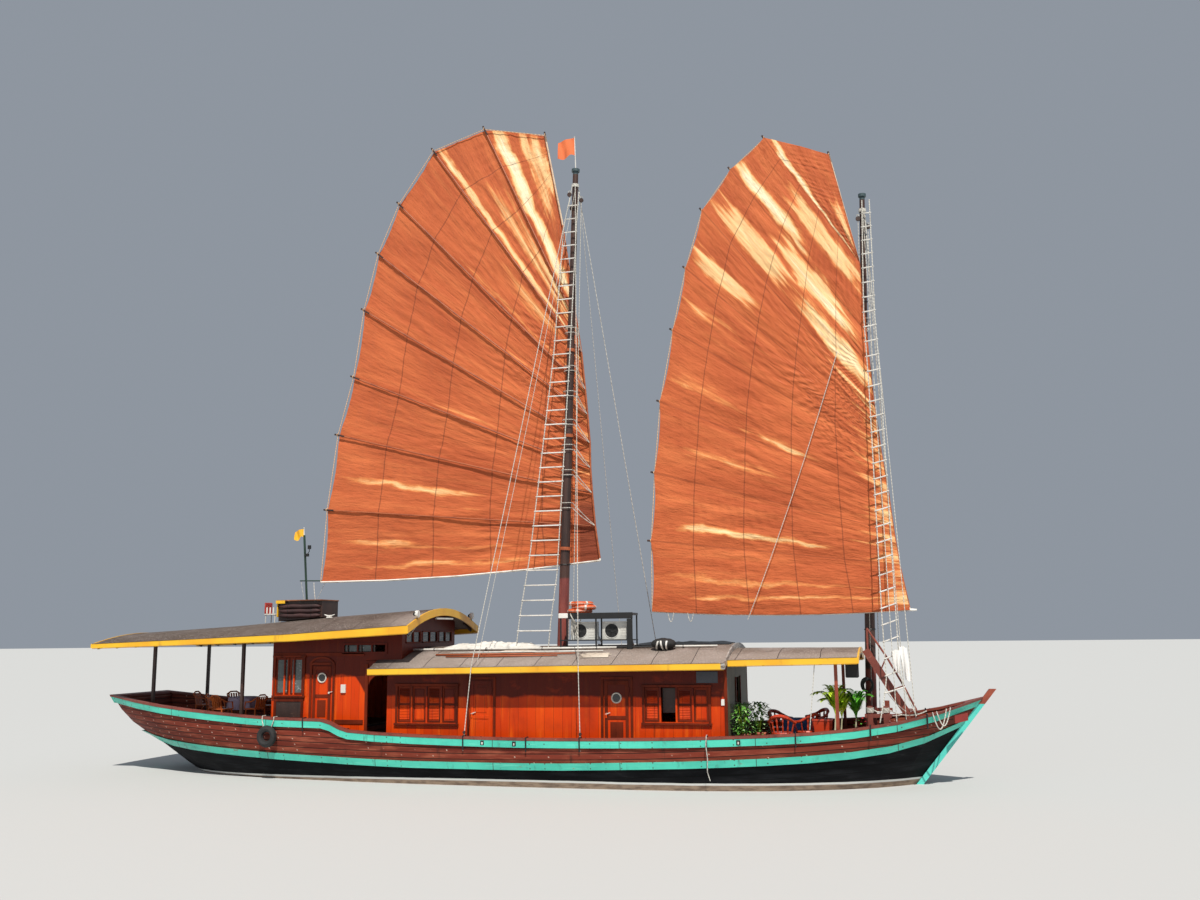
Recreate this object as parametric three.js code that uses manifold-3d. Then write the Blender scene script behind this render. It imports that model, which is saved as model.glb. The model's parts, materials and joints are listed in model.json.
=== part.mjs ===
// Chinese junk ship with two fan sails, at full size.
// Millimetres. +X forward, +Y port, +Z up. The origin is on the centreline, amidships, at the waterline.
import * as THREE from 'three';
import { mergeVertices } from 'three/addons/utils/BufferGeometryUtils.js';
import Module from 'manifold-3d';

const wasm = await Module();
wasm.setup();

// Driving dimensions
const GAP = 0.3;
const SEAT = 0.8;
const SHELL_TOP = 70;
const BULWARK = 90;
const CAP_OUT = 70;
const CAP_IN = 130;
const STRAKE_OUT = 60;
const STRAKE_HEIGHT = 190;
const DECK_PLANK = 40;
const DECK_STEP_X = -5000;
const WALL_Y = 2050;
const WALL = 50;
const DOOR = 40;
const HINGE_R = 12;
const ROOF = 60;
const FASCIA = 45;

// Hull stations: x at the rail, rake in x per z, keel z, lower strake z, rail z, half breadth, fullness
const STATIONS = [
  [-14000, 0.50, 1000, 1120, 2430, 1420, 1.6],
  [-13000, 0.38, 560, 1040, 2300, 1760, 1.7],
  [-11600, 0.18, -100, 930, 2150, 2130, 1.8],
  [-9500, 0, -800, 810, 1990, 2510, 2.0],
  [-7000, 0, -1120, 700, 1850, 2780, 2.2],
  [-5500, 0, -1210, 650, 1830, 2870, 2.3],
  [-4600, 0, -1250, 625, 1530, 2900, 2.3],
  [-2500, 0, -1310, 580, 1430, 2950, 2.4],
  [1000, 0, -1350, 590, 1380, 3000, 2.4],
  [4500, 0, -1340, 680, 1420, 2960, 2.4],
  [7000, -0.04, -1310, 770, 1490, 2740, 2.2],
  [9000, -0.14, -1260, 870, 1580, 2350, 1.9],
  [10800, -0.32, -1180, 1020, 1760, 1740, 1.6],
  [12300, -0.58, -1040, 1290, 2060, 960, 1.35],
  [13450, -0.80, -880, 1680, 2400, 75, 1.2],
];

// Deck heights: x, z
const MAIN_DECK = [[-5000, 960], [2000, 940], [7000, 1000], [10000, 1120], [12300, 1440], [13100, 1660]];
const POOP_DECK = [[-13850, 1640], [-9000, 1540], [-5000, 1500]];

// Roofs: x, half width, edge z, crown z
const AFT_ROOF = [[-13800, 2750, 4080, 4440], [-10100, 2800, 4200, 4630], [-7665, 2800, 4286, 4809],
  [-6700, 2800, 4320, 4880], [-2800, 2800, 4540, 5100]];
const MID_ROOF = [[-4100, 2700, 3270, 3900], [1000, 2700, 3340, 3900], [6590, 2700, 3410, 3940]];
const FORE_ROOF = [[6640, 2250, 3480, 3800], [10150, 2200, 3540, 3790]];

// House and cabin along x
const HOUSE_X = [-4480, 6570];
const CABIN_X = [-7690, HOUSE_X[0] - 2 * GAP];
const WHEEL_FRONT_X = -3300;

// Masts: foot and head of the axis
const MAIN_MAST = { foot: [1060, 0, 985], head: [1690, 0, 19450], r0: 185, r1: 90 };
const FORE_MAST = { foot: [10370, 0, 1180], head: [10870, 0, 17500], r0: 165, r1: 80 };
const MAIN_SAIL_Y = 430;
const FORE_SAIL_Y = -400;
const CLOTH = 60;
const BOOM_R = 34;

const V = (x, y, z) => new THREE.Vector3(x, y, z);

// Straight interpolation in a table of rows, by its first column
function linear(rows, x, column = 1) {
  let i = 1;
  while (i < rows.length - 1 && x > rows[i][0]) i += 1;
  const [a, b] = [rows[i - 1], rows[i]];
  const t = Math.min(1, Math.max(0, (x - a[0]) / (b[0] - a[0])));
  return a[column] + (b[column] - a[column]) * t;
}

// Smooth interpolation that never overshoots its rows
function smooth(rows, x, column) {
  const slope = (i) => (rows[i + 1][column] - rows[i][column]) / (rows[i + 1][0] - rows[i][0]);
  const tangent = (i) => {
    if (i === 0) return slope(0);
    if (i === rows.length - 1) return slope(i - 1);
    const [m0, m1] = [slope(i - 1), slope(i)];
    return m0 * m1 <= 0 ? 0 : (2 * m0 * m1) / (m0 + m1);
  };
  let i = 0;
  while (i < rows.length - 2 && x > rows[i + 1][0]) i += 1;
  const h = rows[i + 1][0] - rows[i][0];
  const t = Math.min(1, Math.max(0, (x - rows[i][0]) / h));
  const [p0, p1] = [rows[i][column], rows[i + 1][column]];
  const [m0, m1] = [tangent(i) * h, tangent(i + 1) * h];
  return p0 * (2 * t ** 3 - 3 * t ** 2 + 1) + m0 * (t ** 3 - 2 * t ** 2 + t)
    + p1 * (-2 * t ** 3 + 3 * t ** 2) + m1 * (t ** 3 - t ** 2);
}

// A closed solid from rings of points, capped at both ends in the plane of the two named axes
function loft(rings, capAxes = ['y', 'z']) {
  const n = rings[0].length;
  const points = rings.flat();
  const index = [];
  for (let r = 0; r + 1 < rings.length; r += 1) {
    for (let k = 0; k < n; k += 1) {
      const a = r * n + k;
      const b = r * n + ((k + 1) % n);
      index.push(a, b, a + n, b, b + n, a + n);
    }
  }
  const flat = (ring) => ring.map((p) => new THREE.Vector2(p[capAxes[0]], p[capAxes[1]]));
  const cap = (ring, offset, flip) => {
    for (const [a, b, c] of THREE.ShapeUtils.triangulateShape(flat(ring), [])) {
      index.push(...(flip ? [offset + a, offset + c, offset + b] : [offset + a, offset + b, offset + c]));
    }
  };
  const clockwise = THREE.ShapeUtils.isClockWise(flat(rings[0]));
  cap(rings[0], 0, !clockwise);
  cap(rings.at(-1), (rings.length - 1) * n, clockwise);
  return outward(points, index);
}

// Geometry from points and triangles, turned so that its faces point out
function outward(points, index) {
  let volume = 0;
  for (let i = 0; i < index.length; i += 3) {
    const [a, b, c] = [points[index[i]], points[index[i + 1]], points[index[i + 2]]];
    volume += a.dot(V(0, 0, 0).crossVectors(b, c));
  }
  const order = volume < 0 ? index.map((_, i) => index[i - (i % 3) + [0, 2, 1][i % 3]]) : index;
  const geometry = new THREE.BufferGeometry().setFromPoints(points);
  geometry.setIndex(order);
  return geometry;
}

function toSolid(geometry) {
  const bare = geometry.clone();
  bare.deleteAttribute('normal');
  bare.deleteAttribute('uv');
  const merged = mergeVertices(bare, 0.01);
  return new wasm.Manifold(new wasm.Mesh({
    numProp: 3,
    vertProperties: new Float32Array(merged.attributes.position.array),
    triVerts: new Uint32Array(merged.index.array),
  }));
}

function fromSolid(solid) {
  const mesh = solid.getMesh();
  const geometry = new THREE.BufferGeometry();
  geometry.setAttribute('position', new THREE.BufferAttribute(new Float32Array(mesh.vertProperties), 3));
  geometry.setIndex([...mesh.triVerts]);
  return withoutSlivers(geometry);
}

// Points closer than the tolerance become one, and triangles that fold up with them go
function withoutSlivers(geometry) {
  const merged = mergeVertices(geometry, 0.02);
  const index = [...merged.index.array];
  const kept = index.filter((_, i) => {
    const [a, b, c] = [0, 1, 2].map((k) => index[i - (i % 3) + k]);
    return a !== b && b !== c && c !== a;
  });
  merged.setIndex(kept);
  return merged;
}

const join = (geometries) => fromSolid(geometries.map(toSolid).reduce((a, b) => a.add(b)));
const cut = (body, tools) => fromSolid(tools.map(toSolid).reduce((a, b) => a.subtract(b), toSolid(body)));

function box([x0, x1], [y0, y1], [z0, z1]) {
  const geometry = new THREE.BoxGeometry(x1 - x0, y1 - y0, z1 - z0);
  return geometry.translate((x0 + x1) / 2, (y0 + y1) / 2, (z0 + z1) / 2);
}

// A round bar along points, with one radius or one for each point; its first corner is at `phase` of a side
function bar(path, radius, sides = 8, phase = 0.5) {
  const rings = path.map((p, i) => {
    const ahead = path[Math.min(i + 1, path.length - 1)].clone().sub(path[Math.max(i - 1, 0)]).normalize();
    const side = V(0, 0, 0).crossVectors(ahead, Math.abs(ahead.y) > 0.9 ? V(1, 0, 0) : V(0, 1, 0)).normalize();
    const up = V(0, 0, 0).crossVectors(ahead, side);
    const r = Array.isArray(radius) ? radius[i] : radius;
    return Array.from({ length: sides }, (_, k) => {
      const angle = (2 * Math.PI * (k + phase)) / sides;
      return p.clone().addScaledVector(side, r * Math.cos(angle)).addScaledVector(up, r * Math.sin(angle));
    });
  });
  const n = sides;
  const index = [];
  for (let i = 0; i + 1 < rings.length; i += 1) {
    for (let k = 0; k < n; k += 1) {
      const a = i * n + k;
      const b = i * n + ((k + 1) % n);
      index.push(a, b, a + n, b, b + n, a + n);
    }
  }
  const last = (rings.length - 1) * n;
  for (let k = 1; k + 1 < n; k += 1) index.push(0, k + 1, k, last, last + k, last + k + 1);
  return outward(rings.flat(), index);
}

// A flat outline in x and z, made thick in y
function plateXZ(outline, [y0, y1]) {
  const shape = new THREE.Shape(outline.map(([x, z]) => new THREE.Vector2(x, z)));
  const geometry = new THREE.ExtrudeGeometry(shape, { depth: y1 - y0, bevelEnabled: false, curveSegments: 8 });
  return geometry.rotateX(Math.PI / 2).translate(0, y1, 0);
}

// A flat outline in y and z, made thick in x
function plateYZ(outline, [x0, x1]) {
  const shape = new THREE.Shape(outline.map(([y, z]) => new THREE.Vector2(y, z)));
  const geometry = new THREE.ExtrudeGeometry(shape, { depth: x1 - x0, bevelEnabled: false });
  return geometry.rotateX(Math.PI / 2).rotateZ(Math.PI / 2).translate(x0, 0, 0);
}

// Hull surface
const station = (x, column) => smooth(STATIONS, x, column);
const keelZ = (x) => station(x, 2);
const lowerZ = (x) => station(x, 3);
const railZ = (x) => station(x, 4);
const raked = (x, z) => x + station(x, 1) * (railZ(x) - z);

function halfAt(x, z) {
  const u = Math.min(1, Math.max(0, (z - keelZ(x)) / (railZ(x) - keelZ(x))));
  const full = station(x, 6);
  return station(x, 5) * (1 - (1 - u) ** full) ** (1 / (0.9 * full));
}

function stationList(from, to, step = 1150) {
  const count = Math.ceil((to - from) / step);
  const list = Array.from({ length: count + 1 }, (_, i) => from + ((to - from) * i) / count);
  const knees = [-5500, -5200, -4900, -4600].filter((x) => x > from && x < to);
  return [...new Set([...list.filter((x) => x < -5700 || x > -4400 || x === from || x === to), ...knees])]
    .sort((a, b) => a - b);
}

// A slice of the hull between two height functions, grown sideways by `grow`
function hullSlice(xs, low, high, grow, rows) {
  return loft(xs.map((x) => {
    const levels = Array.from({ length: rows + 1 }, (_, i) => low(x) + ((high(x) - low(x)) * i) / rows);
    const side = levels.map((z) => [raked(x, z), Math.max(6, halfAt(x, z) + grow), z]);
    return [...side.map(([px, py, pz]) => V(px, -py, pz)), ...side.reverse().map(([px, py, pz]) => V(px, py, pz))];
  }));
}

const FULL = stationList(-14000, 13450);

// The hull's two solids; the bottom is grown by `grow`, with the topside's rows, as a tool for its strakes
const BOTTOM_LEVELS = [0.04, 0.13, 0.32, 0.62, 1];
const TOPSIDE_ROWS = 3;
const shellTop = (x) => railZ(x) - SHELL_TOP - GAP;

function hullBottom(xs = FULL, grow = 0, rows = 0) {
  return loft(xs.map((x) => {
    const [low, high] = [keelZ(x), lowerZ(x)];
    const above = Array.from({ length: rows }, (_, i) => high + ((shellTop(x) - high) * (i + 1)) / rows);
    const levels = [...BOTTOM_LEVELS.map((f) => low + (high - low) * f), ...above];
    const side = levels.map((z) => [raked(x, z), halfAt(x, z) + grow, z]);
    return [...side.map(([px, py, pz]) => V(px, -py, pz)), ...side.reverse().map(([px, py, pz]) => V(px, py, pz)),
      V(raked(x, low), 0, low - grow)];
  }));
}

const topsideShell = () => hullSlice(FULL, (x) => lowerZ(x) + GAP, shellTop, 0, TOPSIDE_ROWS);

// The open well inside the bulwarks, above a deck: rows of the deck, and where the well starts and ends
const MAIN_WELL = [MAIN_DECK, DECK_STEP_X, 13050];
const POOP_WELL = [POOP_DECK, -13830, DECK_STEP_X];
const well = ([rows, from, to], inset) => hullSlice(stationList(from, to),
  (x) => linear(rows, x) - DECK_PLANK + (inset ? SEAT / 2 : 0), (x) => railZ(x) + 200, -BULWARK - inset, 3);

const hullTopside = () => cut(topsideShell(), [well(POOP_WELL, 0), well(MAIN_WELL, 0)]);

// A deck's rings are its well's, a little shorter at both ends
const deckRings = ([, from, to]) => [from + 2, ...stationList(from, to).slice(1, -1), to - 60];

function deck(space) {
  const [rows] = space;
  const layer = hullSlice(deckRings(space), (x) => linear(rows, x) - DECK_PLANK + SEAT, (x) => linear(rows, x), 0, 1);
  return fromSolid(toSolid(layer).intersect(toSolid(well(space, 8))));
}

// A band round the hull between two heights: both sides and the stern, open at the stem
function band(low, high, out) {
  const slab = hullSlice([-14000 - out, ...FULL], low, high, out, 1);
  const round = [-14000 - SEAT, ...FULL.slice(1), 13700];
  return cut(slab, [hullBottom(round, SEAT, TOPSIDE_ROWS)]);
}

function capRail() {
  const rail = hullSlice([-14000 - CAP_OUT, ...FULL], (x) => railZ(x) - SHELL_TOP, railZ, CAP_OUT, 1);
  const inside = hullSlice(stationList(-13800, 12950), (x) => railZ(x) - 200, (x) => railZ(x) + 100, -CAP_IN, 1);
  return cut(rail, [inside]);
}

const upperStrakeLow = (x) => railZ(x) - SHELL_TOP - 5 - STRAKE_HEIGHT;
const lowerStrakeLow = (x) => lowerZ(x) - STRAKE_HEIGHT / 2;

function stemPost() {
  const front = STATIONS.at(-1)[0];
  const heights = [keelZ(front) + GAP, 0, 1000, 2000, 2400, 2620];
  return loft(heights.map((z) => {
    const x = raked(front, z) + GAP;
    return [V(x, -75, z), V(x + 190, -60, z), V(x + 190, 60, z), V(x, 75, z)];
  }), ['x', 'y']);
}

const KEEL_BOTTOM = -1700;
const STERNPOST_X = -10200;
const PROP = { x: -10560, z: -1060, radius: 470, hub: 90 };
const RUDDER_X = -11350;

function keel() {
  const line = FULL.filter((x) => x > -10100).map((x) => [raked(x, keelZ(x)), keelZ(x) - GAP]);
  const top = [[STERNPOST_X, smooth(STATIONS, STERNPOST_X, 2) - 8], ...line.slice(0, -1)];
  const foot = raked(13450, keelZ(13450));
  return plateXZ([...top, [foot + 160, keelZ(13450) - 10], [10100, -1480], [9200, KEEL_BOTTOM],
    [-11700, KEEL_BOTTOM], [-11700, KEEL_BOTTOM + 100], [STERNPOST_X, KEEL_BOTTOM + 100]], [-110, 110]);
}

function propeller() {
  const hub = new THREE.CylinderGeometry(PROP.hub, PROP.hub * 0.7, 220, 12).rotateZ(Math.PI / 2);
  const blade = () => {
    const shape = new THREE.Shape();
    shape.moveTo(-60, 40);
    shape.quadraticCurveTo(-210, 300, -60, PROP.radius);
    shape.quadraticCurveTo(150, 430, 60, 40);
    return new THREE.ExtrudeGeometry(shape, { depth: 24, bevelEnabled: false, curveSegments: 5 })
      .translate(0, 0, -12).rotateY(Math.PI / 3);
  };
  const blades = [0, 1, 2, 3].map((k) => blade().rotateX((k * Math.PI) / 2 + 0.4));
  return join([hub, ...blades]).translate(PROP.x, 0, PROP.z);
}

function sternTube() {
  const [from, to] = [PROP.x + 110 + GAP, STERNPOST_X - GAP];
  return new THREE.CylinderGeometry(70, 70, to - from, 16).rotateZ(Math.PI / 2)
    .translate((from + to) / 2, 0, PROP.z);
}

function rudder() {
  const blade = plateXZ([[-11230, -420], [-12330, -260], [-12420, -1430], [-11260, -1560]], [-40, 40]);
  const stock = bar([V(RUDDER_X, 0, KEEL_BOTTOM + 100 + GAP), V(RUDDER_X, 0, -75)], 62, 12);
  return join([blade, stock]);
}

// Roofs
const ROOF_SPANS = 14;
function roofAt(rows, x, y) {
  const [half, edge, crown] = [1, 2, 3].map((column) => linear(rows, x, column));
  const u = Math.min(1, Math.abs(y) / half) * (ROOF_SPANS / 2);
  const k = Math.min(Math.floor(u), ROOF_SPANS / 2 - 1);
  const arch = (i) => crown - (crown - edge) * (i / (ROOF_SPANS / 2)) ** 2;
  return arch(k) + (arch(k + 1) - arch(k)) * (u - k);
}
// The roof's underside, lower between the table's rows, where its facets twist
function under(rows, x, y) {
  let i = 1;
  while (i < rows.length - 1 && x > rows[i][0]) i += 1;
  const t = Math.min(1, Math.max(0, (x - rows[i - 1][0]) / (rows[i][0] - rows[i - 1][0])));
  return roofAt(rows, x, y) - ROOF - SEAT - 36 * t * (1 - t);
}

function roofSlab(rows, spans = ROOF_SPANS) {
  const step = (half) => Array.from({ length: spans + 1 }, (_, k) => -half + (2 * half * k) / spans);
  return loft(rows.map(([x, half]) => {
    const ys = step(half);
    return [...ys.map((y) => V(x, y, roofAt(rows, x, y))),
      ...ys.slice().reverse().map((y) => V(x, y, roofAt(rows, x, y) - ROOF))];
  }));
}

// Edge boards: one along each side, and an arched board across each end asked for
function fascia(rows, depths, ends) {
  const side = (sign) => loft(rows.map(([x, half, edge], i) => {
    const [y0, y1] = [sign * (half + GAP), sign * (half + FASCIA)];
    const low = edge - depths[i];
    return [V(x, y0, low), V(x, y1, low), V(x, y1, edge + 12), V(x, y0, edge + 12)];
  }));
  const arch = (row, depth, forward) => {
    const half = row[1] + FASCIA;
    const ys = Array.from({ length: 15 }, (_, k) => -half + (2 * half * k) / 14);
    const top = ys.map((y) => [y, roofAt(rows, row[0], Math.min(row[1], Math.abs(y))) + 12]);
    const bottom = ys.slice().reverse().map((y) => [y, roofAt(rows, row[0], Math.min(row[1], Math.abs(y))) - depth]);
    const [x0, x1] = forward ? [row[0] + GAP, row[0] + FASCIA] : [row[0] - FASCIA, row[0] - GAP];
    return plateYZ([...top, ...bottom], [x0, x1]);
  };
  const link = (row, depth, forward, sign) => {
    const x = row[0] + (forward ? 1 : -1) * FASCIA / 2;
    return box([x - FASCIA / 2 - 1, x + FASCIA / 2], [row[1] + GAP, row[1] + FASCIA].map((y) => y * sign)
      .sort((a, b) => a - b), [row[2] - depth, row[2] + 12]);
  };
  const parts = [side(1), side(-1)];
  if (ends.aft) parts.push(arch(rows[0], depths[0], false), link(rows[0], depths[0], false, 1),
    link(rows[0], depths[0], false, -1));
  if (ends.fore) parts.push(arch(rows.at(-1), depths.at(-1), true), link(rows.at(-1), depths.at(-1), true, 1),
    link(rows.at(-1), depths.at(-1), true, -1));
  return join(parts);
}

// Walls are made for starboard and mirrored for port
function mirror(geometry) {
  const copy = geometry.clone().scale(1, -1, 1);
  const index = [...copy.index.array];
  copy.setIndex(index.map((_, i) => index[i - (i % 3) + [0, 2, 1][i % 3]]));
  return copy;
}

function wall(xs, low, high) {
  return loft(xs.map((x) => [V(x, -WALL_Y, low(x)), V(x, -WALL_Y + WALL, low(x)),
    V(x, -WALL_Y + WALL, high(x)), V(x, -WALL_Y, high(x))]));
}

// A window: a frame that stands proud, and recessed panels, some of them open
function windowTools({ x, z, panels, open = [] }) {
  const frame = box([x[0] - 70, x[1] + 70], [-WALL_Y - 28, -WALL_Y + 10], [z[0] - 60, z[1] + 60]);
  const width = (x[1] - x[0] + 50) / panels;
  const recesses = Array.from({ length: panels }, (_, k) => {
    const from = x[0] + k * width;
    const depth = open.includes(k) ? WALL + 20 : 20;
    return box([from, from + width - 50], [-WALL_Y - 40, -WALL_Y + depth], z);
  });
  return { frame, recesses };
}

// A wall's top and bottom are cut to the roofs it meets, with a seat's clearance
const roofTool = (rows, shift) => roofSlab(rows).translate(0, 0, shift);

function sideWall(body, windows, doorways, roofs) {
  const made = windows.map(windowTools);
  const whole = join([body, ...made.map((w) => w.frame)]);
  const holes = doorways.map(({ x, z }) => box(x, [-WALL_Y - 80, -WALL_Y + WALL + 80], z));
  return cut(whole, [...made.flatMap((w) => w.recesses), ...holes, ...roofs]);
}

const deckLine = (space) => deckRings(space).map((x) => [raked(x, linear(space[0], x)), linear(space[0], x)]);
const [POOP_LINE, MAIN_LINE] = [deckLine(POOP_WELL), deckLine(MAIN_WELL)];
const deckTop = (x) => linear(x < DECK_STEP_X ? POOP_LINE : MAIN_LINE, x);
const standZ = (x, reach) => Math.max(deckTop(x - reach), deckTop(x + reach)) + GAP;

// Doors: x range, z range, and whether they swing inward; hinged on the forward edge
const DOORS = [
  { name: 'door_aft', x: [-1090, -380], z: [1000, 2950], inward: false },
  { name: 'door_fore', x: [3010, 3770], z: [1020, 2950], inward: false },
  { name: 'cabin_door', x: [-6300, -5630], z: [1580, 3380], inward: true },
];
const HOUSE_WINDOWS = [
  { x: [-3400, -1530], z: [1690, 2760], panels: 4 },
  { x: [4220, 6040], z: [1780, 2740], panels: 4, open: [1] },
];
const CABIN_WINDOWS = [
  { x: [-7560, -6620], z: [2480, 3620], panels: 3, open: [] },
  { x: [-5230, -3850], z: [3780, 3990], panels: 3, open: [0, 1, 2] },
];

function houseSide() {
  const body = wall([HOUSE_X[0], -1000, 1000, 4000, HOUSE_X[1]], (x) => deckTop(x) + GAP,
    (x) => roofAt(MID_ROOF, x, WALL_Y) - ROOF / 2);
  return sideWall(body, HOUSE_WINDOWS, [{ x: [-4430, -3770], z: [1010, 3080] },
    ...DOORS.filter((d) => !d.inward).map(({ x, z }) => ({ x, z }))], [roofTool(MID_ROOF, -SEAT)]);
}

function cabinSide() {
  const top = (x) => roofAt(AFT_ROOF, x, WALL_Y) - ROOF / 2;
  const poopEnd = DECK_STEP_X - 60;
  const lower = wall([CABIN_X[0], -6700, poopEnd, CABIN_X[1]], (x) => standZ(Math.min(x, poopEnd), 30), top);
  // Forward of the step in the decks the wall goes on down to the main deck
  const foot = wall([DECK_STEP_X + 3, CABIN_X[1]], (x) => standZ(x, 2), () => standZ(poopEnd, 30) + 50);
  const upper = wall([CABIN_X[1] - 20, WHEEL_FRONT_X], (x) => roofAt(MID_ROOF, Math.max(x, MID_ROOF[0][0]),
    WALL_Y - WALL) - ROOF / 2, top);
  return sideWall(join([lower, foot, upper]), CABIN_WINDOWS, DOORS.filter((d) => d.inward).map(({ x, z }) => ({ x, z })),
    [roofTool(AFT_ROOF, -SEAT), roofTool(MID_ROOF, SEAT)]);
}

function bulkhead([x0, x1], low, roof, holes) {
  const half = WALL_Y - WALL - GAP;
  const ys = Array.from({ length: 13 }, (_, k) => -half + (2 * half * k) / 12);
  const top = ys.map((y) => [y, roofAt(roof, (x0 + x1) / 2, y) - ROOF / 2]);
  const bottom = ys.slice().reverse().map((y) => [y, low(y)]);
  const plate = plateYZ([...top, ...bottom], [x0, x1]);
  return cut(plate, [...holes.map(([y, z]) => box([x0 - 50, x1 + 50], y, z)), roofTool(roof, -SEAT),
    roofTool(MID_ROOF, roof === MID_ROOF ? -SEAT : SEAT)]);
}

function door({ x, z, inward }) {
  const face = inward ? -WALL_Y + WALL : -WALL_Y;
  const out = inward ? 1 : -1;
  const y0 = face - out * 2;
  const plateY = [y0, y0 - out * DOOR].sort((a, b) => a - b);
  const plate = box([x[0] + 6, x[1] - 3], plateY, [z[0] + 8, z[1] - 8]);
  const axisY = face + out * (HINGE_R + 0.5);
  const knuckles = [z[0] + 250, z[1] - 350].flatMap((base) => [
    new THREE.CylinderGeometry(HINGE_R, HINGE_R, 140, 10).rotateX(Math.PI / 2).translate(x[1], axisY, base + 70),
    box([x[1] - 90, x[1] - 1], [Math.min(axisY, y0 - out), Math.max(axisY, y0 - out)], [base + 10, base + 130]),
  ]);
  const handle = box([x[0] + 60, x[0] + 95], [y0 - out, y0 + out * 45].sort((a, b) => a - b),
    [z[0] + 860, z[0] + 1000]);
  return join([plate, ...knuckles, handle]);
}

// Awning frames: posts and the beams that join them
function frameOf(posts, roof, beamY, [from, to]) {
  const parts = posts.flatMap(([x, y]) => [-1, 1].map((s) => box([x - 45, x + 45], [s * y - 45, s * y + 45],
    [standZ(x, 45), under(roof, x, y + 45)])));
  const beamTop = (x) => under(roof, x, beamY + 40);
  const inner = roof.map(([x]) => x).filter((x) => x > from && x < to);
  const ends = [from, ...inner, to];
  const knots = ends.flatMap((x, i) => (i ? [(ends[i - 1] + x) / 2, x] : [x]));
  for (const s of [-1, 1]) {
    parts.push(loft(knots.map((x) => [V(x, s * (beamY - 40), beamTop(x) - 90), V(x, s * (beamY + 40), beamTop(x) - 90),
      V(x, s * (beamY + 40), beamTop(x)), V(x, s * (beamY - 40), beamTop(x))])));
  }
  for (const [x, y] of posts) {
    const z = beamTop(x) - 5;
    parts.push(box([x - 35, x + 35], [-Math.max(y, beamY), Math.max(y, beamY)], [z - 80, z]));
  }
  return join(parts);
}

// Masts and sails
function alongMast({ foot, head }, z) {
  const t = (z - foot[2]) / (head[2] - foot[2]);
  return V(foot[0] + (head[0] - foot[0]) * t, 0, z);
}
const mastRadius = ({ foot, head, r0, r1 }, z) => r0 + ((r1 - r0) * (z - foot[2])) / (head[2] - foot[2]);

const MAST_SIDES = 16;

// A ring round the mast, square to its axis
function ringOn(m, z, inner, thick, phase) {
  return cut(bar([alongMast(m, z - 50), alongMast(m, z + 50)], inner + thick, MAST_SIDES, phase),
    [bar([alongMast(m, z - 150), alongMast(m, z + 150)], inner, MAST_SIDES, phase)]);
}

function mast(m) {
  const lean = (m.head[0] - m.foot[0]) / (m.head[2] - m.foot[2]);
  const [from, to] = [deckTop(m.foot[0] + m.r0) + GAP + m.r0 * lean, m.head[2]];
  const zs = Array.from({ length: 4 }, (_, k) => from + ((to - from) * k) / 3);
  const pole = bar(zs.map((z) => alongMast(m, z)), zs.map((z) => mastRadius(m, z)), MAST_SIDES);
  const disc = bar([alongMast(m, to - 60), alongMast(m, to + 30)], m.r1 * 1.5, MAST_SIDES);
  return join([pole, disc]);
}

// Sail tables: leech end x, z, and luff end x, z, of the foot, each batten and the head
const MAIN_BATTENS = [
  [-7480, 6060, 2290, 6530],
  [-7320, 8500, 2140, 7630],
  [-6990, 11070, 2050, 8680],
  [-6460, 13070, 2000, 9490],
  [-6130, 15430, 1990, 10300],
  [-5640, 17420, 1920, 11230],
  [-4880, 19170, 1850, 12060],
  [-3610, 20990, 1730, 13320],
  [-1710, 21540, 1580, 14330],
  [500, 21020, 1100, 17830],
];
const FORE_BATTENS = [
  [4110, 4900, 11610, 4830],
  [4120, 7030, 11390, 6130],
  [4260, 9120, 11280, 7090],
  [4480, 11340, 11190, 8150],
  [4930, 13590, 11040, 9430],
  [5380, 15560, 10980, 10150],
  [5950, 17410, 10910, 10830],
  [6890, 18660, 10790, 13060],
  [7980, 19570, 10690, 15240],
  [9950, 18760, 10690, 15240],
];

function sailOutline(battens, sag) {
  const leech = battens.map(([x, z]) => new THREE.Vector2(x, z));
  const luff = battens.map(([, , x, z]) => new THREE.Vector2(x, z)).reverse();
  const points = [...leech];
  for (const p of luff) if (p.distanceTo(points.at(-1)) > 50) points.push(p);
  const [clew, tack] = [battens[0].slice(0, 2), battens[0].slice(2)];
  const foot = [0.75, 0.5, 0.25].map((t) => new THREE.Vector2(clew[0] + (tack[0] - clew[0]) * t,
    clew[1] + (tack[1] - clew[1]) * t - sag * 4 * t * (1 - t)));
  return [...points, ...foot];
}

function sailCloth(battens, sag, y) {
  const outline = sailOutline(battens, sag).map((p) => [p.x, p.y]);
  return plateXZ(outline, [y, y + CLOTH]);
}

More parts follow.
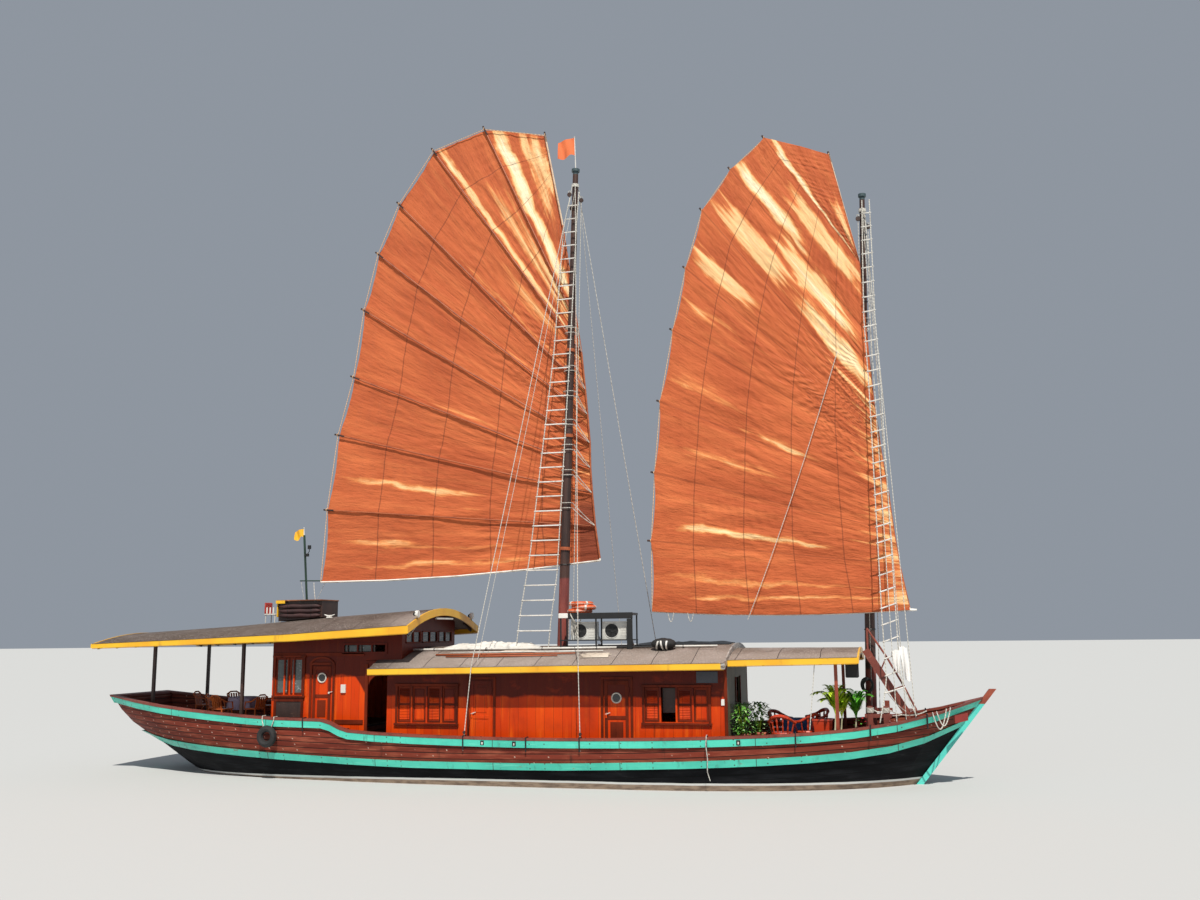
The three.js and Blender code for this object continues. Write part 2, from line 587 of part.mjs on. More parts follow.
function spars(battens, sag, y, m, collars) {
  const at = (x, z) => V(x, y, z);
  const parts = battens.slice(1).map(([x0, z0, x1, z1]) => bar([at(x0, z0), at(x1, z1)], 26, 5));
  const [x0, z0, x1, z1] = battens[0];
  const footPoints = [0, 0.25, 0.5, 0.75, 1].map((t) => at(x0 + (x1 - x0) * t,
    z0 + (z1 - z0) * t - sag * 4 * t * (1 - t)));
  parts.push(bar(footPoints, BOOM_R, 6));
  const luff = battens.map(([, , x, z]) => at(x, z)).filter((p, i, all) => i === 0 || p.distanceTo(all[i - 1]) > 50);
  parts.push(bar([...luff, at(battens.at(-1)[0], battens.at(-1)[1])], 30, 6));
  for (const z of collars) {
    const c = alongMast(m, z);
    const inner = (mastRadius(m, z - 60) + 0.5) / Math.cos(Math.PI / MAST_SIDES);
    const ring = ringOn(m, z, inner, 40, 0);
    const reach = [y > 0 ? inner + 12 : y - 20, y > 0 ? y + 20 : -inner - 12];
    parts.push(ring, box([c.x - 40, c.x + 40], reach, [z - 35, z + 35]));
    const crossings = battens.slice(1).map(([xa, za, xb, zb]) => za + ((zb - za) * (c.x - xa)) / (xb - xa));
    parts.push(bar([at(c.x, z - 30), at(c.x, Math.min(...crossings.filter((h) => h > z)) + 10)], 22, 6));
  }
  return join(parts);
}

// Standing rigging: a band on the mast, and stays from it to the rail
function rigging(m, bandZ, stays, side) {
  const c = alongMast(m, bandZ);
  const inner = mastRadius(m, bandZ - 60) + 0.4;
  const ring = ringOn(m, bandZ, inner, 30, 0.5);
  const ropes = stays.map((points) => {
    const first = V(points[0][0], points[0][1], points[0][2]);
    const away = first.clone().sub(c).setZ(0).normalize().multiplyScalar(inner + 15);
    return bar([c.clone().add(away), ...points.map(([x, y, z]) => V(x, y, z))], 12, 6);
  });
  return join([ring, ...ropes]);
}
const RAIL_LINE = FULL.map((x) => [x, railZ(x)]);
const railPoint = (x, sign) => [x, sign * (station(x, 5) - 30),
  Math.max(linear(RAIL_LINE, x - 12), linear(RAIL_LINE, x + 12)) + 1.6];

// Roof furniture
const RACK_TOP = 4860;

function acRack() {
  const [x0, x1, y0, y1] = [1450, 3700, -1250, -550];
  const shelf = 70;
  const parts = [x0 + 30, (x0 + x1) / 2, x1 - 30].flatMap((x) => [y0 + 30, y1 - 30].map((y) => box([x - 20, x + 20],
    [y - 20, y + 20], [roofAt(MID_ROOF, x + 20, y + 20) + 2 * GAP, RACK_TOP])));
  parts.push(box([x0, x1], [y0, y1], [RACK_TOP - shelf, RACK_TOP]), box([x0, x1], [y0, y1], [4050, 4085]));
  return join(parts);
}

function acUnit(x) {
  const shell = box([x, x + 790], [-1080, -770], [4085 + GAP, 4600]);
  const grille = new THREE.CylinderGeometry(205, 205, 60, 20).translate(x + 290, -1080, 4340);
  return cut(shell, [grille]);
}

function lifebuoys() {
  const [ring, tube, pitch] = [310, 70, 110];
  return join([-60, 60, -20].map((shift, k) => new THREE.TorusGeometry(ring, tube, 8, 16)
    .translate(2050 + shift, -900, RACK_TOP + GAP + tube + k * pitch)));
}

function roofLocker() {
  return loft([-8340, -7500, -6760].map((x) => {
    const base = roofAt(AFT_ROOF, x, 0) + GAP;
    return [V(x, -750, base), V(x, 300, base), V(x, 300, 5410), V(x, -750, 5410)];
  }));
}

function signalPost() {
  const [x, y] = [-8000, 520];
  return join([bar([V(x, y, roofAt(AFT_ROOF, x, y) + 22), V(x - 230, y, 7680)], 38, 8),
    bar([V(x - 330, y, 6130), V(x + 670, y, 6110)], 22, 6),
    box([x - 110, x + 110], [y - 80, y + 110], [roofAt(AFT_ROOF, x + 110, y - 80) + 2 * GAP, roofAt(AFT_ROOF, x, y) + 60])]);
}

// Boarding gangway, hoisted: it swings down forward on the pin at its foot, between two posts on the deck
const GANGWAY = { foot: [11390, 1970], top: [10330, 3730], y: [-900, -380], pin: 28, treads: 7,
  plank: { depth: 190, thick: 56 } };
const HANDRAIL = [[10400, 4330], [10900, 3530], [11330, 2720], [11640, 2060]];

function gangway() {
  const { foot, top, y, pin, treads, plank } = GANGWAY;
  const along = (t) => [foot[0] + (top[0] - foot[0]) * t, foot[1] + (top[1] - foot[1]) * t];
  const length = Math.hypot(top[0] - foot[0], top[1] - foot[1]);
  const [across, up] = [(top[1] - foot[1]) / length, (foot[0] - top[0]) / length].map((n) => (n * plank.depth) / 2);
  const edge = [[foot, -1], [foot, 1], [top, 1], [top, -1]].map(([[x, z], way]) => [x + way * across, z + way * up]);
  const stringers = y.map((side) => plateXZ(edge, [side - plank.thick / 2, side + plank.thick / 2]));
  const rails = y.map((side) => bar(HANDRAIL.map(([x, z]) => V(x, side, z)), 24, 6));
  const posts = y.flatMap((side) => HANDRAIL.map(([x, z], i) => {
    const [px, pz] = along(0.94 - 0.29 * i);
    return bar([V(x, side, z), V(px, side, pz)], 22, 6);
  }));
  const steps = Array.from({ length: treads }, (_, i) => {
    const [x, z] = along((i + 1) / (treads + 0.6));
    return box([x - 70, x + 70], y, [z - 14, z + 14]);
  });
  const axle = bar([V(foot[0], y[0] - 105, foot[1]), V(foot[0], y[1] + 105, foot[1])], pin, 20);
  return join([...stringers, ...rails, ...posts, ...steps, axle]);
}

function gangwayPosts() {
  const { foot, y, pin } = GANGWAY;
  const base = standZ(foot[0], 75);
  const sides = [[y[0] - 125, y[0] - 65], [y[1] + 65, y[1] + 125]];
  const posts = sides.map((range) => box([foot[0] - 75, foot[0] + 75], range, [base, foot[1] + 80]));
  const sill = box([foot[0] - 60, foot[0] + 60], [y[0] - 100, y[1] + 100], [base, base + 90]);
  const bore = (pin + 0.5) / Math.cos(Math.PI / 20);
  return cut(join([...posts, sill]), [bar([V(foot[0], y[0] - 300, foot[1]), V(foot[0], y[1] + 300, foot[1])],
    bore, 20)]);
}

function bitts() {
  const posts = [10400, 10820].map((x) => box([x - 70, x + 70], [-1330, -1190], [standZ(x, 70), 2210]));
  return join([...posts, box([10250, 10970], [-1300, -1220], [1900, 2000])]);
}

// The tyre's top lies against the upper strake, which leans out over it
const TYRE_SEAT = 23;

function tyre() {
  const [x, z, ring, tube] = [-7300, 1300, 230, 100];
  const y = -(halfAt(x, z + ring) + STRAKE_OUT + tube - TYRE_SEAT);
  return new THREE.TorusGeometry(ring, tube, 8, 16).rotateX(Math.PI / 2).translate(x, y, z);
}

const group = new THREE.Group();
function add(name, geometry, color, roughness = 0.6, metalness = 0) {
  const mesh = new THREE.Mesh(geometry, new THREE.MeshStandardMaterial({ color, roughness, metalness }));
  mesh.name = name;
  group.add(mesh);
}
function addPair(name, geometry, color, roughness) {
  add(`${name}_starboard`, geometry, color, roughness);
  add(`${name}_port`, mirror(geometry), color, roughness);
}

const PAINT = { turquoise: 0x57c9b4, redBrown: 0x8a3a2a, plank: 0x5f3328, black: 0x17191c, varnish: 0xb3400f,
  yellow: 0xe8b21c, felt: 0x6b5850, dark: 0x3a2018, sail: 0xc0602c, white: 0xe4e2dc, steel: 0x6c7075,
  bronze: 0x9a7a3c, deck: 0x7a5a3e };

// Hull
add('hull_bottom', hullBottom(), PAINT.black, 0.5);
add('hull_topside', hullTopside(), PAINT.plank);
add('keel', keel(), PAINT.black);
add('stem_post', stemPost(), PAINT.redBrown);
add('upper_strake', band(upperStrakeLow, (x) => upperStrakeLow(x) + STRAKE_HEIGHT, STRAKE_OUT), PAINT.turquoise);
add('lower_strake', band(lowerStrakeLow, (x) => lowerStrakeLow(x) + STRAKE_HEIGHT, STRAKE_OUT), PAINT.turquoise);
add('cap_rail', capRail(), PAINT.redBrown);
add('main_deck', deck(MAIN_WELL), PAINT.deck);
add('poop_deck', deck(POOP_WELL), PAINT.deck);
add('stern_tube', sternTube(), PAINT.steel, 0.5, 0.8);
add('propeller', propeller(), PAINT.bronze, 0.35, 0.9);
add('rudder', rudder(), PAINT.black);

// House and cabin
for (const [name, side] of [['house_side', houseSide()], ['cabin_side', cabinSide()]]) {
  add(`${name}_starboard`, side, PAINT.varnish);
  add(`${name}_port`, cut(mirror(side), [roofTool(AFT_ROOF, -SEAT), roofTool(MID_ROOF,
    name === 'house_side' ? -SEAT : SEAT)]), PAINT.varnish);
}
add('house_front', bulkhead([HOUSE_X[1] - WALL, HOUSE_X[1]], () => standZ(HOUSE_X[1] - WALL / 2, WALL / 2), MID_ROOF,
  [[[-450, 450], [1050, 2950]]]), PAINT.varnish);
add('cabin_aft', bulkhead([CABIN_X[0], CABIN_X[0] + WALL], () => standZ(CABIN_X[0] + WALL / 2, WALL / 2), AFT_ROOF,
  [[[-400, 400], [1600, 3500]]]), PAINT.varnish);
add('wheelhouse_front', bulkhead([WHEEL_FRONT_X - WALL, WHEEL_FRONT_X],
  (y) => roofAt(MID_ROOF, WHEEL_FRONT_X, y) - ROOF / 2, AFT_ROOF,
  [[-1800, -700], [-600, 600], [700, 1800]].map((y) => [y, [4020, 4400]])), PAINT.varnish);
for (const spec of DOORS) addPair(spec.name, door(spec), PAINT.varnish);

// Roofs and awnings
add('mid_roof', cut(roofSlab(MID_ROOF), [bar([V(alongMast(MAIN_MAST, 3500).x, 0, 3500),
  V(alongMast(MAIN_MAST, 4300).x, 0, 4300)], mastRadius(MAIN_MAST, 3900) + 12, 16)]), PAINT.felt, 0.9);
add('mid_roof_fascia', fascia(MID_ROOF, [150, 150, 150], { aft: false, fore: true }), PAINT.yellow);
add('aft_roof', roofSlab(AFT_ROOF), PAINT.felt, 0.9);
add('aft_roof_fascia', fascia(AFT_ROOF, [120, 150, 175, 190, 220], { aft: true, fore: true }), PAINT.yellow);
add('fore_awning', roofSlab(FORE_ROOF), PAINT.felt, 0.9);
add('fore_awning_fascia', fascia(FORE_ROOF, [150, 150], { aft: false, fore: true }), PAINT.yellow);
add('aft_awning_frame', frameOf([[-12400, 1480], [-8800, 1950]], AFT_ROOF, 1950, [-13700, -7760]), PAINT.dark);
add('fore_awning_frame', frameOf([[9550, 1900]], FORE_ROOF, 1900, [6680, 10150]), PAINT.dark);

// Rig
add('main_mast', mast(MAIN_MAST), PAINT.dark);
add('fore_mast', mast(FORE_MAST), PAINT.dark);
add('main_sail', sailCloth(MAIN_BATTENS, 150, MAIN_SAIL_Y), PAINT.sail, 0.9);
add('main_sail_spars', spars(MAIN_BATTENS, 150, MAIN_SAIL_Y - GAP - BOOM_R, MAIN_MAST, [6900, 10500, 13300]), PAINT.dark);
add('fore_sail', sailCloth(FORE_BATTENS, 120, FORE_SAIL_Y - CLOTH), PAINT.sail, 0.9);
add('fore_sail_spars', spars(FORE_BATTENS, 120, FORE_SAIL_Y + GAP + BOOM_R, FORE_MAST, [5300, 8700, 12000]), PAINT.dark);
const overRoof = (x, sign) => [x, sign * 2790, linear(MID_ROOF, x, 2) + 60];
add('main_stays', rigging(MAIN_MAST, 18900, [
  [overRoof(-760, -1), railPoint(-900, -1)],
  [overRoof(2470, -1), railPoint(2560, -1)],
  [overRoof(3600, 1), railPoint(3800, 1)],
]), PAINT.steel);
add('fore_stays', rigging(FORE_MAST, 17000, [
  [railPoint(11100, -1)],
  [railPoint(11600, -1)],
  [railPoint(11350, 1)],
]), PAINT.steel);

// Roof and bow gear
add('ac_rack', acRack(), PAINT.steel);
add('ac_unit_1', acUnit(1750), PAINT.white);
add('ac_unit_2', acUnit(2730), PAINT.white);
add('lifebuoys', lifebuoys(), 0xd8521c);
add('roof_locker', roofLocker(), PAINT.dark);
add('signal_post', signalPost(), 0x1f3b2c);
add('gangway', gangway(), PAINT.redBrown);
add('gangway_posts', gangwayPosts(), PAINT.redBrown);
addPair('bitts', bitts(), PAINT.redBrown);
add('tyre_fender', tyre(), 0x1c1c1c);

export default group;
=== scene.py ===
import json
import random
from math import atan2, cos, exp, hypot, pi, radians, sin, sqrt
import bpy
from mathutils import Matrix, Vector, noise


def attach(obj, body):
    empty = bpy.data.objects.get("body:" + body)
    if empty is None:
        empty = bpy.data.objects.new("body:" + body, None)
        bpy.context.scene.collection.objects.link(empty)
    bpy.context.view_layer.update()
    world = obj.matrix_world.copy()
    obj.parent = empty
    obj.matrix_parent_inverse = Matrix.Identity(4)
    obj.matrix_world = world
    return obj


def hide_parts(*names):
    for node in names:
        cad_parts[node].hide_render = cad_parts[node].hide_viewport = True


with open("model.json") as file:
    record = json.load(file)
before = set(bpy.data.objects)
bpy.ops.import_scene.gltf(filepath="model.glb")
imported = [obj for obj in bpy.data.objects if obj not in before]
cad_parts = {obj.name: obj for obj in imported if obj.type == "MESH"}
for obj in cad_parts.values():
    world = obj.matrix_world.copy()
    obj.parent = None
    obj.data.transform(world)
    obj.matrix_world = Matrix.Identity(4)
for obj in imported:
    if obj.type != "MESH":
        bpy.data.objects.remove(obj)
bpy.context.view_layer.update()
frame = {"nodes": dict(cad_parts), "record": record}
random.seed(7)

HULL = "hull"
TAU = 2 * pi


def vec(*parts):
    return Vector(parts)


def link(name, data):
    thing = bpy.data.objects.new(name, data)
    bpy.context.collection.objects.link(thing)
    return thing


def grid_faces(columns, rows):
    """Quads of a grid of points, which run along the columns first."""
    k = columns + 1
    return [(i * k + j, i * k + j + 1, (i + 1) * k + j + 1, (i + 1) * k + j) for i in range(rows)
        for j in range(columns)]


class Paint:
    """A material's node tree, with short calls for the nodes it is made of."""

    def __init__(self, name, rough=0.6, coat=0.0, sheen=0.0, gloss=0.5):
        self.m = bpy.data.materials.new(name)
        self.m.use_nodes = True
        self.t = self.m.node_tree
        self.out = self.t.nodes["Principled BSDF"]
        for key, value in (("Roughness", rough), ("Coat Weight", coat), ("Specular IOR Level", gloss),
                ("Sheen Weight", sheen)):
            self.out.inputs[key].default_value = value
        self.xyz = self.node("ShaderNodeTexCoord").outputs["Object"]
        self.normal = None

    def node(self, kind, **props):
        n = self.t.nodes.new(kind)
        for key, value in props.items():
            setattr(n, key, value)
        return n

    def put(self, socket, value):
        if isinstance(value, bpy.types.NodeSocket):
            self.t.links.new(value, socket)
        else:
            socket.default_value = value

    def math(self, operation, a, b=0.0):
        n = self.node("ShaderNodeMath", operation=operation)
        self.put(n.inputs[0], a)
        self.put(n.inputs[1], b)
        return n.outputs[0]

    def add(self, a, b):
        return self.math("ADD", a, b)

    def sub(self, a, b):
        return self.math("SUBTRACT", a, b)

    def mul(self, a, b):
        return self.math("MULTIPLY", a, b)

    def div(self, a, b):
        return self.math("DIVIDE", a, b)

    def whole(self, value):
        return self.math("FLOOR", value)

    def length(self, a, b):
        return self.math("SQRT", self.add(self.mul(a, a), self.mul(b, b)))

    def axes(self, vector=None):
        n = self.node("ShaderNodeSeparateXYZ")
        self.put(n.inputs[0], vector or self.xyz)
        return n.outputs

    def scaled(self, scale, vector=None, move=(0, 0, 0)):
        n = self.node("ShaderNodeMapping")
        self.put(n.inputs["Vector"], vector or self.xyz)
        n.inputs["Scale"].default_value = scale
        n.inputs["Location"].default_value = move
        return n.outputs[0]

    def noise(self, scale, detail=4, vector=None, rough=0.55, move=(0, 0, 0)):
        size = scale if isinstance(scale, tuple) else (scale,) * 3
        n = self.node("ShaderNodeTexNoise")
        self.put(n.inputs["Vector"], self.scaled(size, vector, move))
        n.inputs["Scale"].default_value = 1
        n.inputs["Detail"].default_value = detail
        n.inputs["Roughness"].default_value = rough
        return n.outputs["Fac"]

    def ramp(self, value, low, high):
        n = self.node("ShaderNodeMapRange", interpolation_type="SMOOTHSTEP")
        self.put(n.inputs["Value"], value)
        n.inputs["From Min"].default_value = low
        n.inputs["From Max"].default_value = high
        return n.outputs[0]

    def put_color(self, socket, value):
        self.put(socket, value if isinstance(value, bpy.types.NodeSocket) else (*value, 1))

    def mix(self, share, a, b):
        n = self.node("ShaderNodeMix", data_type="RGBA")
        self.put(n.inputs[0], share)
        self.put_color(n.inputs[6], a)
        self.put_color(n.inputs[7], b)
        return n.outputs[2]

    def spots(self, low, high, *scale, **more):
        """Soft spots, where the noise rises from low to high."""
        return self.ramp(self.noise(*scale, **more), low, high)

    def spotted(self, ground, spot, low, high, *scale, **more):
        return self.mix(self.spots(low, high, *scale, **more), ground, spot)

    def random_of(self, value):
        n = self.node("ShaderNodeTexWhiteNoise", noise_dimensions="1D")
        self.put(n.inputs["W"], value)
        return n.outputs["Value"]

    def seam(self, value, width):
        """1 in a line at each whole number of value, and 0 between."""
        f = self.math("FRACT", value)
        edge = self.math("MINIMUM", f, self.math("SUBTRACT", 1.0, f))
        return self.math("SUBTRACT", 1.0, self.ramp(edge, width * 0.4, width))

    def bump(self, height, depth):
        n = self.node("ShaderNodeBump")
        n.inputs["Strength"].default_value = 1.0
        n.inputs["Distance"].default_value = depth
        self.put(n.inputs["Height"], height)
        if self.normal:
            self.put(n.inputs["Normal"], self.normal)
        self.normal = n.outputs[0]
        self.put(self.out.inputs["Normal"], self.normal)

    def color(self, value):
        self.put_color(self.out.inputs["Base Color"], value)
        return self.m


def shade(color, share):
    return tuple(c * share for c in color)


def worn_paint(name, base, dark, bare, rough=0.45, wear=0.62, coat=0.0, gloss=0.5):
    """Brushed paint with dirt and places worn to what is under it."""
    p = Paint(name, rough=rough, coat=coat, gloss=gloss)
    tone = p.spotted(base, dark, 0.35, 0.7, 0.9, 5)
    streaks = p.spotted(tone, shade(dark, 0.6), 0.5, 0.8, (5, 5, 0.8), 5)
    worn = p.spotted(streaks, bare, wear, wear + 0.1, (7, 7, 16), 6, rough=0.7)
    p.bump(p.noise((4, 4, 30), 5), 0.004)
    return p.color(worn)


def deck_boards():
    """Boards side by side: each its own tone, with grain and a dark seam."""
    p = Paint("deck_wood")
    light, dark = (0.20, 0.105, 0.055), (0.12, 0.06, 0.032)
    row = p.div(p.axes()[1], 0.13)
    wood = p.mix(p.random_of(p.whole(row)), light, dark)
    wood = p.spotted(wood, shade(dark, 0.55), 0.35, 0.75, (0.7, 8, 8), 6, rough=0.65)
    wood = p.spotted(wood, shade(light, 0.8), 0.45, 0.75, 0.6, 4)
    line = p.seam(row, 0.1)
    p.bump(p.mul(line, -1.0), 0.006)
    return p.color(p.mix(line, wood, (0.02, 0.012, 0.008)))


# The sheer, as a height in x, that the planks of the sides follow
SHEER_LOW, SHEER_MIDDLE, SHEER_CURVE = 0.59, -1.5, 0.0029


def sheer_of(p):
    x, y, z = p.axes()
    from_middle = p.sub(x, SHEER_MIDDLE)
    rise = p.mul(p.mul(from_middle, from_middle), SHEER_CURVE)
    return p.sub(p.sub(z, SHEER_LOW), rise)


def from_nail(p, column, spacing, row, height):
    """How far a place is from the nail in the middle of its cell."""
    across, up = (p.mul(p.sub(p.math("FRACT", v), 0.5), size) for v, size in ((column, spacing), (row, height)))
    return p.length(across, up)


def topside_planks():
    p = Paint("topside_planks", rough=0.65, gloss=0.18)
    x, y, z = p.axes()
    row = p.div(sheer_of(p), 0.165)
    tone = p.mix(p.random_of(p.whole(row)), (0.195, 0.034, 0.019), (0.130, 0.022, 0.013))
    tone = p.spotted(tone, (0.32, 0.085, 0.048), 0.45, 0.75, (1.2, 1.2, 9), 6)
    tone = p.spotted(tone, (0.035, 0.016, 0.012), 0.6, 0.85, (5, 5, 1.0), 5)
    line = p.seam(row, 0.09)
    tone = p.mix(line, tone, (0.02, 0.008, 0.006))
    # Nails: one to a plank at each frame, in rows that lean; pale where the putty shows
    column = p.add(p.div(x, 0.50), p.mul(row, 0.14))
    nails = p.sub(1.0, p.ramp(from_nail(p, column, 0.50, row, 0.165), 0.015, 0.023))
    which = p.add(p.whole(column), p.mul(p.whole(row), 17.3))
    aft = p.sub(0.45, p.mul(p.ramp(x, -5.0, -9.0), 0.45))
    kept = p.ramp(p.sub(p.random_of(which), aft), -0.05, 0.5)
    tone = p.mix(p.mul(nails, kept), tone, (0.56, 0.40, 0.32))
    p.bump(p.mul(line, -1.0), 0.008)
    return p.color(tone)


def bottom_paint():
    p = Paint("bottom_paint", rough=0.7, gloss=0.10)
    x, y, z = p.axes()
    row = p.div(sheer_of(p), 0.17)
    tone = p.spotted((0.0045, 0.005, 0.0065), (0.015, 0.016, 0.019), 0.4, 0.75, (1.0, 1.0, 6), 6)
    tone = p.mix(p.mul(p.seam(row, 0.07), 0.7), tone, (0.002, 0.002, 0.002))
    tone = p.spotted(tone, (0.055, 0.055, 0.06), 0.62, 0.85, (2, 2, 12), 6, rough=0.7)
    # The white line, and the pale band of growth under it
    line = p.add(0.045, p.mul(p.ramp(x, -11.0, 1.0), 0.12))
    height = p.sub(p.add(z, p.mul(p.noise(1.5, 3), 0.02)), line)
    band = p.spotted((0.36, 0.27, 0.20), (0.18, 0.13, 0.10), 0.35, 0.7, (3, 3, 12), 6)
    tone = p.mix(p.ramp(height, 0.06, 0.052), tone, (0.72, 0.72, 0.70))
    tone = p.mix(p.ramp(height, 0.005, -0.01), tone, band)
    tone = p.mix(p.ramp(z, -0.12, -0.3), tone, (0.05, 0.03, 0.028))
    p.bump(p.noise((3, 3, 14), 5), 0.006)
    return p.color(tone)


def strake_paint():
    p = Paint("strake_paint", rough=0.38, coat=0.15)
    x, y, z = p.axes()
    tone = p.spotted((0.075, 0.62, 0.47), (0.045, 0.47, 0.36), 0.35, 0.7, 0.8, 5)
    tone = p.spotted(tone, (0.16, 0.70, 0.54), 0.55, 0.8, (1.2, 1.2, 22), 6)
    tone = p.spotted(tone, (0.04, 0.20, 0.16), 0.55, 0.76, (6, 6, 1.2), 6, rough=0.7)
    tone = p.spotted(tone, (0.13, 0.07, 0.05), 0.66, 0.72, (8, 8, 15), 7, rough=0.75)
    rust = p.mul(p.spots(0.60, 0.70, (3.1, 3.1, 7), 6, rough=0.75), p.spots(0.52, 0.62, (0.9, 0.9, 2), 3))
    tone = p.mix(rust, tone, (0.24, 0.09, 0.03))
    joint = p.seam(p.div(x, 3.7), 0.0035)
    tone = p.mix(joint, tone, (0.02, 0.03, 0.025))
    # Nail heads in the strake, dark with a little rust
    row = p.div(sheer_of(p), 0.135)
    column = p.div(x, 0.44)
    nails = p.sub(1.0, p.ramp(from_nail(p, column, 0.44, row, 0.135), 0.014, 0.022))
    kept = p.ramp(p.random_of(p.whole(column)), 0.5, 0.7)
    tone = p.mix(p.mul(nails, kept), tone, (0.05, 0.05, 0.035))
    p.bump(p.noise((2, 2, 24), 5), 0.004)
    return p.color(tone)


def varnished_boards():
    """Wide smooth boards under glossy red-orange varnish, with painted shade high up where the eaves cast their
    shadow.
    """
    p = Paint("varnish", rough=0.42, coat=0.05, gloss=0.16)
    x, y, z = p.axes()
    along = p.add(p.add(x, p.mul(y, 0.9)), p.mul(p.noise(0.5, 2), 0.12))
    row = p.div(along, 0.27)
    wood = p.mix(p.random_of(p.whole(row)), (0.68, 0.060, 0.002), (0.54, 0.036, 0.0015))
    wood = p.spotted(wood, (0.80, 0.12, 0.006), 0.5, 0.8, (5, 5, 0.5), 6, rough=0.6)
    wood = p.spotted(wood, (0.26, 0.022, 0.004), 0.55, 0.8, (9, 9, 0.6), 6, rough=0.7)
    wood = p.spotted(wood, (0.36, 0.03, 0.004), 0.5, 0.8, 0.7, 4)
    # Painted shade: the upper boards, where the eaves' shadow falls, are painted much darker, and the paler wisps in
    # it are painted reflections of light off the water
    painted_shadow_edge = p.sub(3.05, p.mul(p.ramp(x, -4.9, -4.35), 0.60))
    shadow_edge_wobble = p.mul(p.sub(p.noise((1.6, 1.6, 0.6), 4), 0.5), 0.30)
    high = p.ramp(p.sub(p.add(z, shadow_edge_wobble), painted_shadow_edge), -0.03, 0.06)
    painted_shade_and_reflections = p.spotted((0.045, 0.004, 0.002), (0.19, 0.018, 0.003), 0.56, 0.74, (1.3, 1.3, 2.6), 6, rough=0.7)
    wood = p.mix(p.mul(high, 0.90), wood, painted_shade_and_reflections)
    line = p.seam(row, 0.02)
    p.bump(p.mul(line, -1.0), 0.003)
    return p.color(p.mix(p.mul(line, 0.8), wood, (0.10, 0.008, 0.002)))


def stem_paint():
    """The strakes' blue-green on the stem, but its head is left red-brown."""
    p = Paint("stem_paint", rough=0.4, coat=0.1)
    x, y, z = p.axes()
    blue = p.spotted((0.10, 0.66, 0.56), (0.06, 0.50, 0.44), 0.35, 0.7, 0.9, 5)
    blue = p.spotted(blue, (0.16, 0.08, 0.05), 0.62, 0.72, (6, 6, 14), 6, rough=0.7)
    head = p.spotted((0.36, 0.075, 0.035), (0.22, 0.045, 0.025), 0.35, 0.7, (4, 4, 2), 5)
    tone = p.mix(p.ramp(z, 2.20, 2.22), blue, head)
    p.bump(p.noise((4, 4, 20), 4), 0.004)
    return p.color(p.mix(p.ramp(z, -0.02, -0.06), tone, (0.05, 0.03, 0.028)))


def house_front_painted_shade():
    """The front wall: olive-grey, painted dark to stand for the shade it lies in."""
    p = Paint("house_front_painted_shade", rough=0.6)
    x, y, z = p.axes()
    tone = p.spotted((0.125, 0.11, 0.065), (0.085, 0.075, 0.045), 0.35, 0.7, (2, 2, 1), 5)
    line = p.seam(p.div(y, 0.3), 0.02)
    return p.color(p.mix(p.mul(line, 0.8), tone, (0.03, 0.025, 0.015)))


def roof_felt():
    p = Paint("roof_felt", rough=0.95, gloss=0.2)
    x, y, z = p.axes()
    sheets = p.div(p.add(x, p.mul(p.noise(0.9, 2), 0.10)), 1.15)
    tone = p.mix(p.random_of(p.whole(sheets)), (0.135, 0.100, 0.080), (0.190, 0.145, 0.120))
    tone = p.spotted(tone, (0.27, 0.22, 0.20), 0.42, 0.72, 1.1, 6)
    tone = p.spotted(tone, (0.055, 0.040, 0.036), 0.55, 0.75, (1.0, 5, 5), 6, rough=0.7)
    tone = p.mix(p.mul(p.ramp(x, -2.6, -3.0), 0.62), tone, (0.050, 0.038, 0.034))
    eaves = p.mul(p.ramp(p.math("ABSOLUTE", y), 1.1, 1.9), p.ramp(x, -4.2, -2.9))
    tone = p.mix(p.mul(eaves, 0.55), tone, (0.34, 0.29, 0.26))
    tone = p.spotted(tone, (0.50, 0.45, 0.40), 0.55, 0.68, 26, 4, rough=0.75)
    tone = p.spotted(tone, (0.045, 0.035, 0.032), 0.56, 0.70, 31, 4, rough=0.75)
    lap = p.seam(sheets, 0.010)
    tone = p.mix(lap, tone, (0.035, 0.026, 0.024))
    p.bump(p.noise(30, 4), 0.004)
    p.bump(p.mul(lap, -1.0), 0.012)
    return p.color(tone)


def yellow_tone(p):
    p.bump(p.noise((2, 2, 26), 4), 0.003)
    tone = p.spotted((0.86, 0.49, 0.02), (0.76, 0.36, 0.012), 0.35, 0.7, 0.8, 5)
    return p.spotted(tone, (0.40, 0.19, 0.02), 0.58, 0.82, (3, 3, 1.2), 6)


def fascia_paint():
    p = Paint("fascia_paint", rough=0.4, coat=0.2)
    return p.color(p.spotted(yellow_tone(p), (0.20, 0.12, 0.06), 0.68, 0.74, (14, 14, 22), 6, rough=0.75))


def mid_fascia_paint():
    """Yellow along the eaves, but frayed grey felt laps over the board at the fore end."""
    p = Paint("mid_fascia_paint", rough=0.5, coat=0.1)
    felt = p.spotted((0.46, 0.43, 0.40), (0.11, 0.09, 0.08), 0.40, 0.62, (4, 9, 14), 6, rough=0.7)
    return p.color(p.mix(p.ramp(p.axes()[0], 6.50, 6.53), yellow_tone(p), felt))


def rope_of(name, a, b, turns=60.0):
    p = Paint(name, rough=0.85, sheen=0.2)
    x, y, z = p.axes()
    lay = p.math("SINE", p.mul(p.add(p.add(x, y), z), turns))
    tone = p.mix(p.ramp(lay, -0.6, 0.6), a, shade(a, 0.7))
    tone = p.spotted(tone, b, 0.5, 0.8, 3, 4)
    p.bump(lay, 0.003)
    return p.color(tone)


